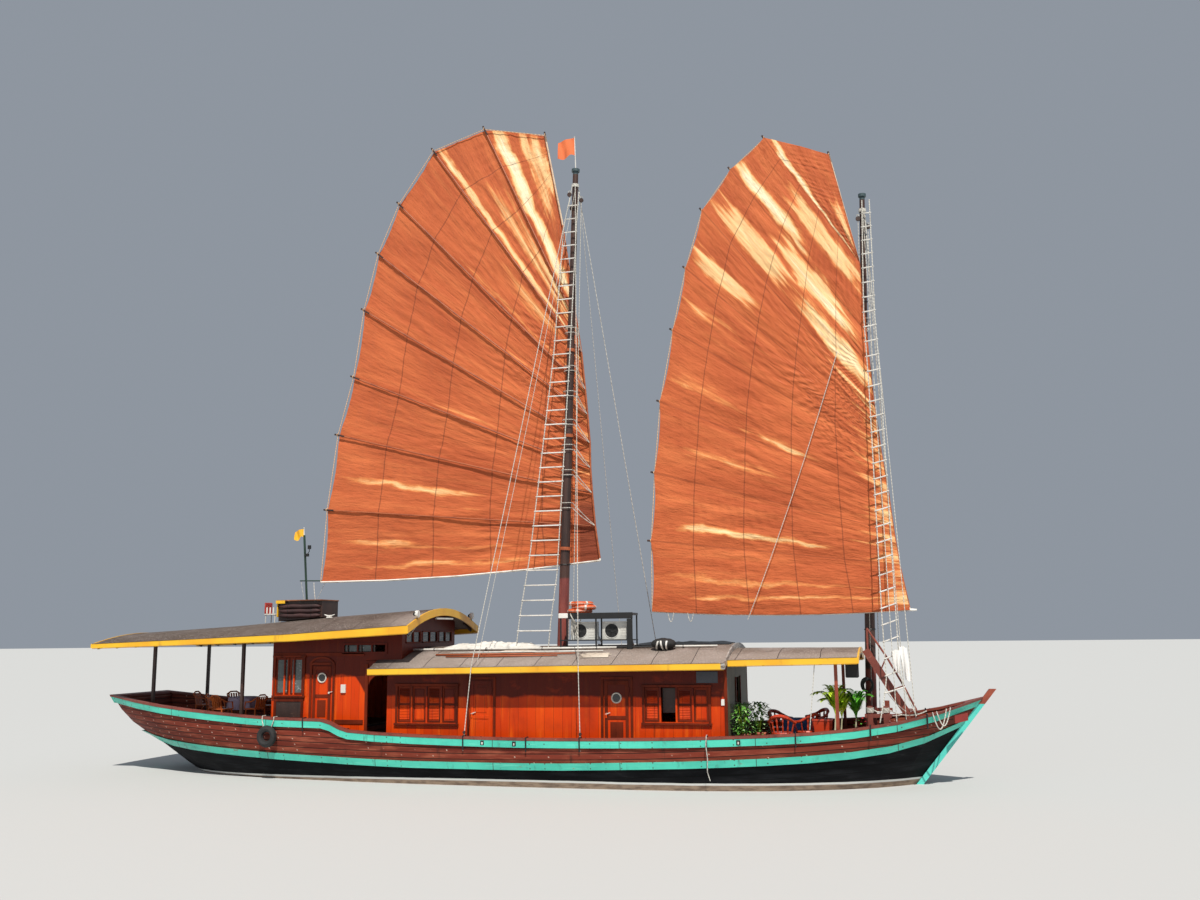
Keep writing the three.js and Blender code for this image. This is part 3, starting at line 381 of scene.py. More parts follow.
# Where the canvas has faded: v from, v to, u from, u to, and how much
MAIN_FADED = ((8.00, 8.38, 0.00, 0.97, 0.96), (8.40, 9.00, 0.00, 0.62, 0.60), (7.00, 7.22, 0.00, 1.00, 0.80),
    (7.34, 7.95, 0.25, 1.00, 0.46), (6.02, 6.16, 0.40, 1.00, 0.46), (6.35, 6.90, 0.50, 0.90, 0.40),
    (5.00, 5.16, 0.55, 1.00, 0.40), (4.05, 4.16, 0.62, 1.00, 0.24), (4.60, 4.95, 0.00, 0.14, 0.34),
    (3.00, 3.16, 0.35, 1.00, 0.26), (2.25, 2.42, 0.55, 1.00, 0.32), (1.36, 1.50, 0.02, 0.62, 0.46),
    (1.18, 1.26, 0.30, 0.95, 0.34), (0.46, 0.58, 0.02, 0.96, 0.36), (0.16, 0.28, 0.04, 0.80, 0.40),
    (2.0, 7.0, 0.93, 1.10, 0.46))
FORE_FADED = ((8.00, 8.22, 0.00, 1.00, 0.90), (8.50, 9.00, 0.45, 0.95, 0.55), (7.00, 7.36, 0.00, 0.55, 0.90),
    (7.40, 7.95, 0.35, 1.00, 0.60), (6.05, 6.62, 0.04, 0.50, 0.66), (6.50, 7.05, 0.40, 0.88, 0.74),
    (6.05, 6.50, 0.58, 1.02, 0.84), (5.62, 6.02, 0.80, 1.04, 0.72), (5.10, 5.55, 0.06, 0.36, 0.62),
    (4.42, 4.75, 0.06, 0.22, 0.50), (3.25, 3.60, 0.10, 0.24, 0.52), (3.03, 3.22, 0.42, 0.75, 0.48),
    (2.30, 2.62, 0.10, 0.55, 0.40), (1.16, 1.32, 0.08, 0.78, 0.60), (0.42, 0.55, 0.06, 0.90, 0.42),
    (0.20, 0.30, 0.16, 0.98, 0.40), (0.0, 5.8, 0.93, 1.10, 0.66))


def sail_cloth(name, shift, faded, seams, throat, shadow):
    """Canvas: the uv's u runs from leech to luff and its v from foot to head, a whole number at each batten."""
    p = Paint(name, rough=0.8, sheen=0.2, gloss=0.3)
    x, y, z = p.axes()
    uv = p.node("ShaderNodeTexCoord").outputs["UV"]
    u, v, _ = p.axes(uv)
    red = p.spotted((0.43, 0.085, 0.024), (0.56, 0.130, 0.038), 0.3, 0.7, (2.2, 0.8, 1), 4, uv)
    red = p.spotted(red, (0.62, 0.165, 0.050), 0.45, 0.8, (1.6, 5.0, 1), 5, uv, rough=0.6, move=(shift, 2, 0))
    red = p.spotted(red, (0.38, 0.07, 0.016), 0.55, 0.85, (7, 2.0, 1), 4, uv, rough=0.6)
    # The faded areas, soft at their edges and broken into streaks along the battens
    wobble_u = p.add(u, p.mul(p.sub(p.noise((3, 7, 1), 5, uv, move=(shift, 0, 0)), 0.5), 0.50))
    wobble_v = p.add(v, p.mul(p.sub(p.noise((6, 2, 1), 5, uv, move=(0, shift, 0)), 0.5), 0.34))
    level = None
    for v0, v1, u0, u1, share in faded:
        soft_v, soft_u = min(0.16, (v1 - v0) / 2), 0.14
        across = p.mul(p.ramp(wobble_v, v0 - 0.03, v0 + soft_v), p.ramp(wobble_v, v1 + 0.06, v1 - soft_v))
        along = p.mul(p.ramp(wobble_u, u0 - soft_u, u0 + soft_u), p.ramp(wobble_u, u1 + soft_u, u1 - soft_u))
        spot = p.mul(p.mul(across, along), share)
        level = spot if level is None else p.math("MAXIMUM", level, spot)
    streak = p.noise((1.7, 7.0, 1), 5, uv, 0.58, (0, shift, 0))
    broad = p.noise((1.3, 3.0, 1), 5, uv, 0.6, (shift, 0, 0))
    level = p.add(p.mul(level, 0.46), p.add(p.mul(streak, 0.56), p.mul(broad, 0.20)))
    # Gathers that fan out from the throat, where the luff is laced hard to the mast: painted highlight on their
    # ridges and painted shade in their troughs
    across, up = p.sub(throat[0], x), p.sub(z, throat[1])
    angle = p.add(p.math("ARCTAN2", up, across), p.mul(p.noise((2.0, 2.4, 1), 4, uv), 0.55))
    reach = p.length(across, up)
    near = p.mul(p.ramp(reach, 0.3, 1.0), p.ramp(reach, throat[2], throat[2] * 0.35))
    patchy = p.mul(p.spots(0.35, 0.65, (2.2, 1.2, 1), 4, uv, move=(shift, 5, 0)), throat[4])
    fan = p.mul(p.mul(p.math("SINE", p.mul(angle, throat[3])), near), patchy)
    level = p.add(level, p.mul(fan, 0.026))
    tone = p.mix(p.ramp(level, 0.48, 0.60), red, (0.72, 0.25, 0.075))
    tone = p.mix(p.ramp(level, 0.56, 0.68), tone, (0.90, 0.56, 0.26))
    tone = p.mix(p.ramp(level, 0.68, 0.86), tone, (0.96, 0.82, 0.56))
    # Painted shade in the troughs of the gathers
    tone = p.mix(p.mul(p.ramp(fan, -0.30, -0.95), 0.22), tone, (0.40, 0.08, 0.02))
    # Painted shadow over the lower corner of the luff
    if shadow:
        painted_luff_shadow = p.mul(p.ramp(x, shadow[0], shadow[0] + 0.12), p.ramp(z, shadow[1], shadow[1] - 0.9))
        tone = p.mix(p.mul(painted_luff_shadow, 0.80), tone, (0.15, 0.025, 0.010))
    # Cloth seams up the sail, and painted shade in the crease at each batten
    for place in seams:
        near = p.math("ABSOLUTE", p.sub(p.add(u, p.mul(p.noise((1, 0.8, 1), 2, uv), 0.02)), place))
        tone = p.mix(p.mul(p.ramp(near, 0.0030, 0.0012), 0.6), tone, (0.15, 0.03, 0.010))
    batten_crease_shade = p.seam(v, 0.020)
    tone = p.mix(p.mul(batten_crease_shade, 0.45), tone, (0.22, 0.045, 0.012))
    p.bump(p.noise((60, 26, 1), 5, uv, 0.6), 0.012)
    p.bump(p.noise((12, 14, 1), 5, uv, 0.6), 0.045)
    p.bump(fan, 0.022)
    return p.color(tone)


PAINTS = {
    "bottom_paint": bottom_paint(),
    "topside_paint": topside_planks(),
    "trim_paint": worn_paint("trim_paint", (0.24, 0.055, 0.035), (0.15, 0.034, 0.024), (0.40, 0.22, 0.16), 0.5),
    "strake_paint": strake_paint(),
    "deck_wood": deck_boards(),
    "steel": worn_paint("steel", (0.16, 0.165, 0.17), (0.09, 0.09, 0.095), (0.22, 0.09, 0.04), 0.5),
    "bronze": worn_paint("bronze", (0.36, 0.22, 0.08), (0.20, 0.13, 0.05), (0.10, 0.14, 0.10), 0.35),
    "varnish": varnished_boards(),
    "roof_felt": roof_felt(),
    "fascia_paint": fascia_paint(),
    "dark_wood": worn_paint("dark_wood", (0.055, 0.026, 0.020), (0.030, 0.016, 0.013), (0.15, 0.085, 0.06), 0.5),
    "rope": rope_of("rope", (0.62, 0.60, 0.54), (0.36, 0.33, 0.28)),
    "unit_shell": worn_paint("unit_shell", (0.66, 0.66, 0.62), (0.52, 0.51, 0.47), (0.34, 0.27, 0.2), 0.35, 0.7),
    "buoy_shell": worn_paint("buoy_shell", (0.80, 0.14, 0.03), (0.60, 0.10, 0.025), (0.85, 0.5, 0.35), 0.45, 0.7),
    "green_paint": worn_paint("green_paint", (0.022, 0.055, 0.035), (0.012, 0.03, 0.02), (0.13, 0.09, 0.06), 0.4),
    "black_rubber": worn_paint("black_rubber", (0.016, 0.016, 0.017), (0.01, 0.01, 0.01), (0.06, 0.055, 0.05), 0.75),
}
FRAME_WOOD = worn_paint("frame_wood", (0.17, 0.022, 0.006), (0.09, 0.012, 0.004), (0.26, 0.07, 0.02), 0.5, 0.74,
    gloss=0.14)
WHITE = worn_paint("white_paint", (0.78, 0.77, 0.73), (0.60, 0.58, 0.53), (0.40, 0.34, 0.28), 0.4, 0.7)
CREAM = worn_paint("cream_cloth", (0.62, 0.55, 0.46), (0.44, 0.37, 0.30), (0.30, 0.24, 0.18), 0.9, 0.7)
GLASS = worn_paint("dark_glass", (0.012, 0.014, 0.016), (0.02, 0.022, 0.024), (0.05, 0.05, 0.05), 0.08, 0.8, 0.5)
# Dark glass, with grey streaks and pale patches painted on as reflections
PANES_WITH_PAINTED_REFLECTIONS = worn_paint("glass_with_painted_reflections", (0.035, 0.045, 0.045), (0.10, 0.12, 0.12), (0.62, 0.66, 0.66), 0.1, 0.60, 0.4)
BLACK = worn_paint("black_fitting", (0.012, 0.012, 0.013), (0.008, 0.008, 0.008), (0.05, 0.05, 0.05), 0.45, 0.75)
BRIGHT = worn_paint("bright_fitting", (0.70, 0.66, 0.58), (0.50, 0.46, 0.40), (0.30, 0.24, 0.16), 0.25, 0.7, 0.2)
ORANGE = worn_paint("orange_chair", (0.62, 0.15, 0.03), (0.42, 0.09, 0.02), (0.7, 0.3, 0.1), 0.4, 0.75)
SPAR = worn_paint("spar_stain", (0.42, 0.10, 0.03), (0.27, 0.06, 0.02), (0.55, 0.26, 0.11), 0.6, 0.68)
YELLOW = PAINTS["fascia_paint"]
ROPE = PAINTS["rope"]
EDGE_ROPE = rope_of("edge_rope", (0.80, 0.52, 0.30), (0.52, 0.26, 0.12))
TRIM = PAINTS["trim_paint"]
DARK = PAINTS["dark_wood"]


def spar_paint(name, clew, tack, boom, yard):
    """Stained poles, but the boom along the foot is white and the yard at the head is pale."""
    p = Paint(name, rough=0.55)
    x, y, z = p.axes()
    slope = (tack[1] - clew[1]) / (tack[0] - clew[0])
    foot = p.add(p.mul(p.sub(x, clew[0]), slope), clew[1] + boom)
    stain = p.spotted((0.40, 0.10, 0.03), (0.24, 0.05, 0.018), 0.4, 0.7, (2, 6, 6), 5)
    white = p.spotted((0.78, 0.76, 0.70), (0.48, 0.42, 0.34), 0.45, 0.75, (3, 9, 9), 5)
    pale = p.spotted((0.66, 0.50, 0.36), (0.42, 0.24, 0.14), 0.45, 0.75, (3, 3, 6), 5)
    top = p.mul(p.ramp(x, yard[0] - 0.02, yard[0]), p.ramp(z, yard[1] - 0.02, yard[1]))
    p.bump(p.noise((3, 30, 30), 4), 0.004)
    tone = p.mix(p.ramp(p.sub(z, foot), 0.0, 0.02), white, stain)
    return p.color(p.mix(top, tone, pale))


def mast_paint(name, painted_to, head):
    """Dark brown above, red-brown at the foot, a pale metal cap."""
    p = Paint(name, rough=0.5)
    x, y, z = p.axes()
    dark = p.spotted((0.060, 0.027, 0.020), (0.028, 0.014, 0.012), 0.4, 0.7, (4, 4, 0.7), 6)
    dark = p.spotted(dark, (0.14, 0.075, 0.05), 0.6, 0.75, (10, 10, 1.5), 6, rough=0.7)
    red = p.spotted((0.26, 0.06, 0.045), (0.16, 0.035, 0.03), 0.35, 0.7, (4, 4, 0.9), 5)
    tone = p.mix(p.ramp(z, painted_to - 0.05, painted_to + 0.02), red, dark)
    tone = p.mix(p.ramp(z, head - 0.02, head), tone, (0.045, 0.075, 0.085))
    p.bump(p.noise((16, 16, 1.2), 5), 0.006)
    return p.color(tone)


# Mesh building


class Mesh:
    """Collects faces from plain shapes and makes one piece of them."""

    def __init__(self):
        self.points, self.faces = [], []

    def add(self, points, faces):
        base = len(self.points)
        self.points += [tuple(p) for p in points]
        self.faces += [tuple(base + i for i in f) for f in faces]

    def box(self, x, y, z, bevel=0.0):
        """A box with its edges taken off, so that they catch the light."""
        b = min(bevel or 0.006, (x[1] - x[0]) / 3, (y[1] - y[0]) / 3, (z[1] - z[0]) / 3)
        rings = []
        for h, inset in ((z[0], b), (z[0] + b, 0), (z[1] - b, 0), (z[1], b)):
            x0, x1, y0, y1 = x[0] + inset, x[1] - inset, y[0] + inset, y[1] - inset
            rings.append([(x0 + b, y0, h), (x1 - b, y0, h), (x1, y0 + b, h), (x1, y1 - b, h), (x1 - b, y1, h),
                (x0 + b, y1, h), (x0, y1 - b, h), (x0, y0 + b, h)])
        self.rings(rings)

    def rings(self, rings, closed=True):
        n = len(rings[0])
        faces = []
        for r in range(len(rings) - 1):
            for k in range(n if closed else n - 1):
                a, b = r * n + k, r * n + (k + 1) % n
                faces.append((a, b, b + n, a + n))
        if closed:
            faces.append(tuple(reversed(range(n))))
            faces.append(tuple((len(rings) - 1) * n + k for k in range(n)))
        self.add([p for ring in rings for p in ring], faces)

    def tube(self, path, radius, sides=6):
        path = [Vector(p) for p in path]
        rings = []
        for i, p in enumerate(path):
            ahead = (path[min(i + 1, len(path) - 1)] - path[max(i - 1, 0)]).normalized()
            side = ahead.cross(vec(1, 0, 0) if abs(ahead.y) > 0.9 else vec(0, 1, 0)).normalized()
            up = ahead.cross(side)
            r = radius[i] if isinstance(radius, (list, tuple)) else radius
            rings.append([p + side * (r * cos(TAU * k / sides)) + up * (r * sin(TAU * k / sides))
                for k in range(sides)])
        self.rings(rings)

    def rope(self, a, b, radius, sag=0.0, pieces=8, sides=5):
        a, b = Vector(a), Vector(b)
        self.tube([a.lerp(b, i / pieces) - vec(0, 0, sag * 4 * (i / pieces) * (1 - i / pieces))
            for i in range(pieces + 1)], radius, sides)

    def ring(self, centre, radius, tube, axis="z", sides=24, around=8, squash=1.0):
        axes = {"z": ((1, 0, 0), (0, 1, 0), (0, 0, 1)), "y": ((1, 0, 0), (0, 0, 1), (0, 1, 0)), "x": ((0, 1, 0),
            (0, 0, 1), (1, 0, 0))}[axis]
        u, v, w = (Vector(a) for a in axes)
        centre = Vector(centre)
        points = []
        for i in range(sides):
            out = u * cos(TAU * i / sides) + v * sin(TAU * i / sides) * squash
            for k in range(around):
                points.append(centre + out * (radius + tube * cos(TAU * k / around)) + w * tube
                    * sin(TAU * k / around))
        faces = [(i * around + k, ((i + 1) % sides) * around + k, ((i + 1) % sides) * around + (k + 1) % around,
            i * around + (k + 1) % around) for i in range(sides) for k in range(around)]
        self.add(points, faces)

    def disc(self, centre, radius, depth, axis="y", sides=20):
        c = Vector(centre)
        d = {"x": vec(1, 0, 0), "y": vec(0, 1, 0), "z": vec(0, 0, 1)}[axis]
        self.tube([c, c + d * depth * 0.15, c + d * depth * 0.85, c + d * depth],
            [radius * 0.93, radius, radius, radius * 0.93], sides)

    def make(self, name, paint, body=HULL, smooth=False, slot=None):
        mesh = bpy.data.meshes.new(name)
        mesh.from_pydata(self.points, [], self.faces)
        mesh.validate()
        mesh.materials.append(paint)
        if smooth:
            mesh.polygons.foreach_set("use_smooth", [True] * len(mesh.polygons))
        piece = link(name, mesh)
        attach(piece, body)
        return piece


def row(rows, x, column=1):
    """Straight interpolation in a table, by its first column."""
    for a, b in zip(rows, rows[1:]):
        if x <= b[0] or b is rows[-1]:
            t = min(1.0, max(0.0, (x - a[0]) / (b[0] - a[0])))
            return a[column] + (b[column] - a[column]) * t


# The same roof tables as the solids: x, half width, edge z, crown z
AFT_ROOF = [(-13.8, 2.75, 4.08, 4.44), (-10.1, 2.8, 4.2, 4.63), (-7.665, 2.8, 4.286, 4.809), (-6.7, 2.8, 4.32, 4.88),
    (-2.8, 2.8, 4.54, 5.1)]
MID_ROOF = [(-4.1, 2.7, 3.27, 3.9), (1.0, 2.7, 3.34, 3.9), (6.59, 2.7, 3.41, 3.94)]
FORE_ROOF = [(6.64, 2.25, 3.48, 3.8), (10.15, 2.2, 3.54, 3.79)]


def roof_z(rows, x, y):
    half, edge, crown = (row(rows, x, k) for k in (1, 2, 3))
    return crown - (crown - edge) * min(1.0, abs(y) / half) ** 2


# Camera, floor and light
LENS_MM, SENSOR_MM = 33.18, 36.0
CAMERA_AT = (11.410, -33.363, 4.274)
YAW, PITCH, ROLL = 15.07, 9.395, -0.6
FLOOR_HALF = 400
SKY_COLOR, SKY_LIGHT = (0.78, 0.87, 1.0, 1), 0.35
SUN_WATTS, SUN_SPREAD, SUN_FROM = 4.4, 0.7, (0.38, -1.0, 1.5)
PANEL_WATTS, PANEL_SIZE, PANEL_AT, PANEL_TO = 900, 30, (-12, -42, 20), (0, 0, 6)


def camera_and_light():
    data = bpy.data.cameras.new("camera")
    data.lens, data.sensor_width, data.sensor_fit = LENS_MM, SENSOR_MM, "HORIZONTAL"
    data.clip_end = 500
    camera = link("camera", data)
    camera.matrix_world = (Matrix.Translation(CAMERA_AT) @ Matrix.Rotation(radians(YAW),
        4, "Z") @ Matrix.Rotation(radians(90 + PITCH), 4, "X") @ Matrix.Rotation(radians(ROLL), 4, "Z"))
    bpy.context.scene.camera = camera
    bpy.context.scene.view_settings.view_transform = "Standard"

    mesh = bpy.data.meshes.new("floor")
    corners = ((-1, -1), (1, -1), (1, 1), (-1, 1))
    mesh.from_pydata([(FLOOR_HALF * a, FLOOR_HALF * b, 0) for a, b in corners], [], [(0, 1, 2, 3)])
    mesh.materials.append(Paint("floor", rough=0.9).color((0.52, 0.53, 0.53)))
    floor = link("floor", mesh)

    world = bpy.data.worlds.new("studio")
    world.use_nodes = True
    sky = world.node_tree.nodes["Background"]
    sky.inputs[0].default_value, sky.inputs[1].default_value = SKY_COLOR, SKY_LIGHT
    bpy.context.scene.world = world

    sun = bpy.data.lights.new("sun", "SUN")
    sun.energy, sun.angle, sun.color = SUN_WATTS, radians(SUN_SPREAD), (1.0, 0.95, 0.87)
    link("sun", sun).rotation_euler = Vector(SUN_FROM).to_track_quat("Z", "Y").to_euler()

    soft = bpy.data.lights.new("soft", "AREA")
    soft.energy, soft.size, soft.color = PANEL_WATTS, PANEL_SIZE, (1.0, 0.98, 0.95)
    panel = link("soft", soft)
    panel.location = PANEL_AT
    panel.rotation_euler = (Vector(PANEL_AT) - Vector(PANEL_TO)).to_track_quat("Z", "Y").to_euler()


# Carried-over solids get the finish of their slot
def paint_solids():
    own = {
        "stem_post": stem_paint(),
        "house_front": house_front_painted_shade(),
        "ac_rack": BLACK,
        "fore_awning_frame": worn_paint("awning_post", (0.30, 0.055, 0.022), (0.12, 0.022, 0.012),
            (0.42, 0.18, 0.09), 0.45, 0.66),
        "mid_roof_fascia": mid_fascia_paint(),
        "main_mast": mast_paint("main_mast_paint", 5.99, 19.3),
        "fore_mast": mast_paint("fore_mast_paint", 3.2, 17.35),
        "main_sail_spars": spar_paint("main_spar_paint", (-7.48, 6.06), (2.29, 6.53), 0.06, (0.46, 17.75)),
        "fore_sail_spars": spar_paint("fore_spar_paint", (4.11, 4.90), (11.61, 4.83), 0.06, (9.92, 15.42)),
    }
    slots = {row["node"]: row["material_slot"] for row in frame["record"]["subparts"]}
    for node, piece in frame["nodes"].items():
        paint = own.get(node) or PAINTS.get(slots[node])
        if paint:
            piece.data.materials.clear()
            piece.data.materials.append(paint)


# Sails: the leech end x, z and luff end x, z of the foot, each batten and the head
MAIN_BATTENS = [(-7.48, 6.06, 2.29, 6.53), (-7.32, 8.50, 2.14, 7.63), (-6.99, 11.07, 2.05, 8.68),
    (-6.46, 13.07, 2.00, 9.49), (-6.13, 15.43, 1.99, 10.30), (-5.64, 17.42, 1.92, 11.23),
    (-4.88, 19.17, 1.85, 12.06), (-3.61, 20.99, 1.73, 13.32), (-1.71, 21.54, 1.58, 14.33), (0.50, 21.02, 1.10, 17.83)]
FORE_BATTENS = [(4.11, 4.90, 11.61, 4.83), (4.12, 7.03, 11.39, 6.13), (4.26, 9.12, 11.28, 7.09),
    (4.48, 11.34, 11.19, 8.15), (4.93, 13.59, 11.04, 9.43), (5.38, 15.56, 10.98, 10.15), (5.95, 17.41, 10.91, 10.83),
    (6.89, 18.66, 10.79, 13.06), (7.98, 19.57, 10.69, 15.24), (9.95, 18.76, 10.70, 15.30)]
SAIL_ACROSS, SAIL_ROWS = 230, 24
# The cloths' planes, and those of the batten ends and edge ropes
MAIN_SAIL_Y, FORE_SAIL_Y = 0.462, -0.432
MAIN_TRIM_Y, FORE_TRIM_Y = 0.394, -0.366


def sail(name, battens, y, sag, out, shift, faded, seams, throat, shadow=None):
    """Cloth between the battens: it bellies a little in each panel, gathers along the luff and creases.
    throat is x, z, reach, number of gathers and their strength; shadow is x and z of the foot of the luff, where a
    shadow is painted on the cloth."""
    panels = len(battens) - 1
    points, uvs = [], []
    rows = panels * SAIL_ROWS
    for i in range(rows + 1):
        v = i / SAIL_ROWS
        k = min(int(v), panels - 1)
        t = v - k
        lower, upper = battens[k], battens[k + 1]
        leech, luff = (Vector([a + (b - a) * t for a, b in zip(lower[e:e + 2], upper[e:e + 2])]) for e in (0, 2))
        hollow = 4 * t * (1 - t)
        for j in range(SAIL_ACROSS + 1):
            u = j / SAIL_ACROSS
            p = leech.lerp(luff, u)
            middle = 4 * u * (1 - u)
            if k == 0:
                p.y -= sag * middle * (1 - t)
            if u < 0.12:
                p.x += 0.07 * hollow * (1 - u / 0.12)
            belly = 0.035 * hollow * middle ** 0.6
            crease = 0.034 * noise.fractal((u * 3.6 + shift, v * 4.0, shift), 0.65, 2.2, 5)
            # Fine gathers square to the battens, stronger towards the luff of the upper panels
            high = max(0.0, min(1.0, (v - 3.5) / 2.5)) * max(0.0, u - 0.30)
            gather = (0.007 + 0.020 * high) * sin(u * 150 + 6 * noise.noise((u * 3, v * 1.3, shift))) * (0.4
                + noise.noise((u * 5, v * 1.6, 3 + shift))) * sqrt(hollow + 0.05)
            # Slack folds: slanting down from the leech, and chevrons at each seam
            slant = 0.020 * sin((v * 3.1 - u * 5.0) * 4.4 + 5 * noise.noise((u * 2, v, 7 + shift))) * max(0.0,
                noise.noise((u * 2.2, v * 0.9, 11 + shift)) + 0.15) * sqrt(hollow + 0.03)
            for place in seams:
                off = abs(u - place) * 13
                if off < 2.2:
                    slant += 0.020 * sin(v * 34 + off * 3.6 + 2 * noise.noise((v * 2, place * 9, shift))) * exp(-off
                        * off) * (0.35 + max(0.0, noise.noise((v * 1.3, place * 7, 5 + shift)))) * hollow ** 0.3
            # Gathers that fan out from the throat
            away = hypot(throat[0] - p.x, p.y - throat[1])
            if 0.3 < away < throat[2]:
                turn = atan2(p.y - throat[1], throat[0] - p.x) + 0.22 * noise.noise((u * 2.4, v * 1.4, shift))
                slant += 0.012 * throat[4] * sin(turn * throat[3]) * min(1.0, away - 0.3) * (1
                    - away / throat[2]) * hollow ** 0.3
            points.append((p.x, y + out * (belly + crease + gather + slant), p.y))
            uvs.append((u, v))
    mesh = bpy.data.meshes.new(f"{name}_canvas")
    mesh.from_pydata(points, [], grid_faces(SAIL_ACROSS, rows))
    layer = mesh.uv_layers.new(name="cloth")
    for loop in mesh.loops:
        layer.data[loop.index].uv = uvs[loop.vertex_index]
    mesh.polygons.foreach_set("use_smooth", [True] * len(mesh.polygons))
    mesh.materials.append(sail_cloth(f"{name}_canvas_cloth", shift, faded, seams, throat, shadow))
    piece = link(f"{name}_canvas", mesh)
    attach(piece, f"{name}_rig")
    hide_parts(name)


def batten_trim(name, battens, y):
    """Dark batten ends that stand out at the leech, and the lacing along the luff and leech."""
    sticks, lines = Mesh(), Mesh()
    for x0, z0, x1, z1 in battens[1:]:
        along = (vec(x0, 0, z0) - vec(x1, 0, z1)).normalized()
        tip = vec(x0, y, z0)
        sticks.tube([tip - along * 0.25, tip + along * 0.13], 0.03, 6)
        lines.ring(tip + along * 0.02, 0.045, 0.012, "x", 12, 5)
    for side in (0, 2):
        edge = [vec(b[side], y, b[side + 1]) for b in battens]
        for a, b in zip(edge, edge[1:]):
            lines.rope(a, b, 0.013, 0.0, 2)
    sticks.make(f"{name}_batten_ends", DARK, f"{name}_rig", slot="spar_wood")
    lines.make(f"{name}_edge_rope", EDGE_ROPE, f"{name}_rig", slot="rope")


# Masts: foot and head as x, z, and the radius at each; then ladders, stays and flags
MAIN_MAST = ((1.06, 0.985), (1.69, 19.45), 0.185, 0.09)
FORE_MAST = ((10.37, 1.18), (10.87, 17.5), 0.165, 0.08)
MAIN_LADDER = ([(1.59, -0.16, 18.62), (1.33, -0.20, 17.45), (1.04, -0.41, 13.19), (0.81, -0.54, 10.96),
    (0.36, -0.79, 6.68), (0.07, -0.90, 4.81), (-0.04, -0.93, 3.85)],
    [(1.84, -0.14, 18.62), (1.77, -0.20, 17.64), (1.58, -0.42, 13.15), (1.47, -0.54, 10.92), (1.24, -0.82, 6.07),
    (1.07, -0.90, 4.71), (1.00, -0.95, 3.85)])
FORE_LADDER = ([(10.86, -0.12, 17.29), (10.80, -0.53, 15.2), (10.75, -0.62, 13.45), (10.80, -0.76, 11.3),
    (10.84, -1.20, 4.66), (10.88, -1.36, 2.84), (10.66, -1.72, 1.80)],
    [(11.08, -0.12, 17.29), (11.08, -0.53, 15.2), (11.07, -0.62, 13.42), (11.14, -0.76, 11.27), (11.22, -1.20, 4.70),
    (11.25, -1.36, 2.92), (11.62, -1.36, 1.96)])
RUNG_STEP = 0.46


def along(path, t):
    """The point at height share t, from the top down, on a path of points."""
    z = path[0][2] + (path[-1][2] - path[0][2]) * t
    for a, b in zip(path, path[1:]):
        if a[2] >= z >= b[2]:
            return Vector(a).lerp(Vector(b), (a[2] - z) / (a[2] - b[2]))
    return Vector(path[-1])


def at_height(path, z):
    """The point at height z on a path of points from the top down."""
    return along(path, (path[0][2] - z) / (path[0][2] - path[-1][2]))


def ladder(name, sides):
    ropes, rungs = Mesh(), Mesh()
    for path in sides:
        ropes.tube([along(path, i / 40) for i in range(41)], 0.016, 5)
    height = sides[0][0][2] - sides[0][-1][2]
    for i in range(1, int(height / RUNG_STEP)):
        t = i * RUNG_STEP / height
        a, b = along(sides[0], t), along(sides[1], t)
        away = (b - a).normalized() * 0.04
        rungs.tube([a - away, a, b, b + away], [0.014, 0.02, 0.02, 0.014], 6)
        for end in (a, b):
            rungs.ring(end, 0.026, 0.009, "z", 8, 4)
    ropes.make(f"{name}_ropes", ROPE, slot="rope")
    rungs.make(f"{name}_rungs", WHITE, slot="unit_shell")


def flag(name, pole_foot, pole_top, fly, paint, drop):
    """A small flag that hangs and ripples from a thin pole."""
    pole = Mesh()
    pole.tube([pole_foot, pole_top], [0.02, 0.012], 6)
    pole.ring(Vector(pole_top) - vec(0, 0, 0.01), 0.012, 0.012, "z", 10, 5)
    pole.make(f"{name}_pole", WHITE, slot="unit_shell")
    n, m = 22, 14
    points = []
    top = Vector(pole_top) - vec(0, 0, 0.05)
    for i in range(m + 1):
        for j in range(n + 1):
            s, t = j / n, i / m
            ripple = 0.045 * sin(s * 9 + t * 2.5) * s
            points.append(top + vec(fly * s, ripple, -drop * t - 0.10 * s * s + 0.05 * t * sin(s * 7)))
    cloth = Mesh()
    cloth.add(points, grid_faces(n, m))
    piece = cloth.make(name, paint, smooth=True, slot="sail_cloth")


def mast_fittings():
    bands = Mesh()
    for (foot, head, r0, r1), heights in ((MAIN_MAST, (6.4, 9.2, 12.6, 15.9, 18.1)),
            (FORE_MAST, (4.3, 7.6, 11.0, 14.1, 16.2))):
        for z in heights:
            t = (z - foot[1]) / (head[1] - foot[1])
            x = foot[0] + (head[0] - foot[0]) * t
            bands.ring((x, 0, z), r0 + (r1 - r0) * t + 0.004, 0.018, "z", 20, 6)
    bands.make("mast_bands", BLACK, slot="steel")
    blocks, lines = Mesh(), Mesh()
    for x, y, z in ((1.52, -0.17, 18.55), (1.86, 0.05, 18.4), (1.5, 0.16, 18.2), (10.72, -0.15, 16.7),
            (11.0, 0.1, 16.5)):
        blocks.disc((x, y - 0.03, z), 0.075, 0.06, "y", 14)
        lines.ring((x, y, z + 0.1), 0.035, 0.01, "y", 12, 5)
    blocks.make("masthead_blocks", DARK, slot="dark_wood")
    # Halyards down the masts
    for a, b, sag in (((1.86, 0.05, 18.4), (1.42, 0.22, 4.1), 0.02), ((1.5, 0.16, 18.2), (1.30, 0.2, 4.1), 0.03),
            ((11.0, 0.1, 16.5), (10.62, 0.2, 1.6), 0.03), ((10.72, -0.15, 16.7), (10.42, -0.19, 1.9), 0.03)):
        lines.rope(a, b, 0.011, sag, 20, 5)
    lines.make("halyards", ROPE, slot="rope")


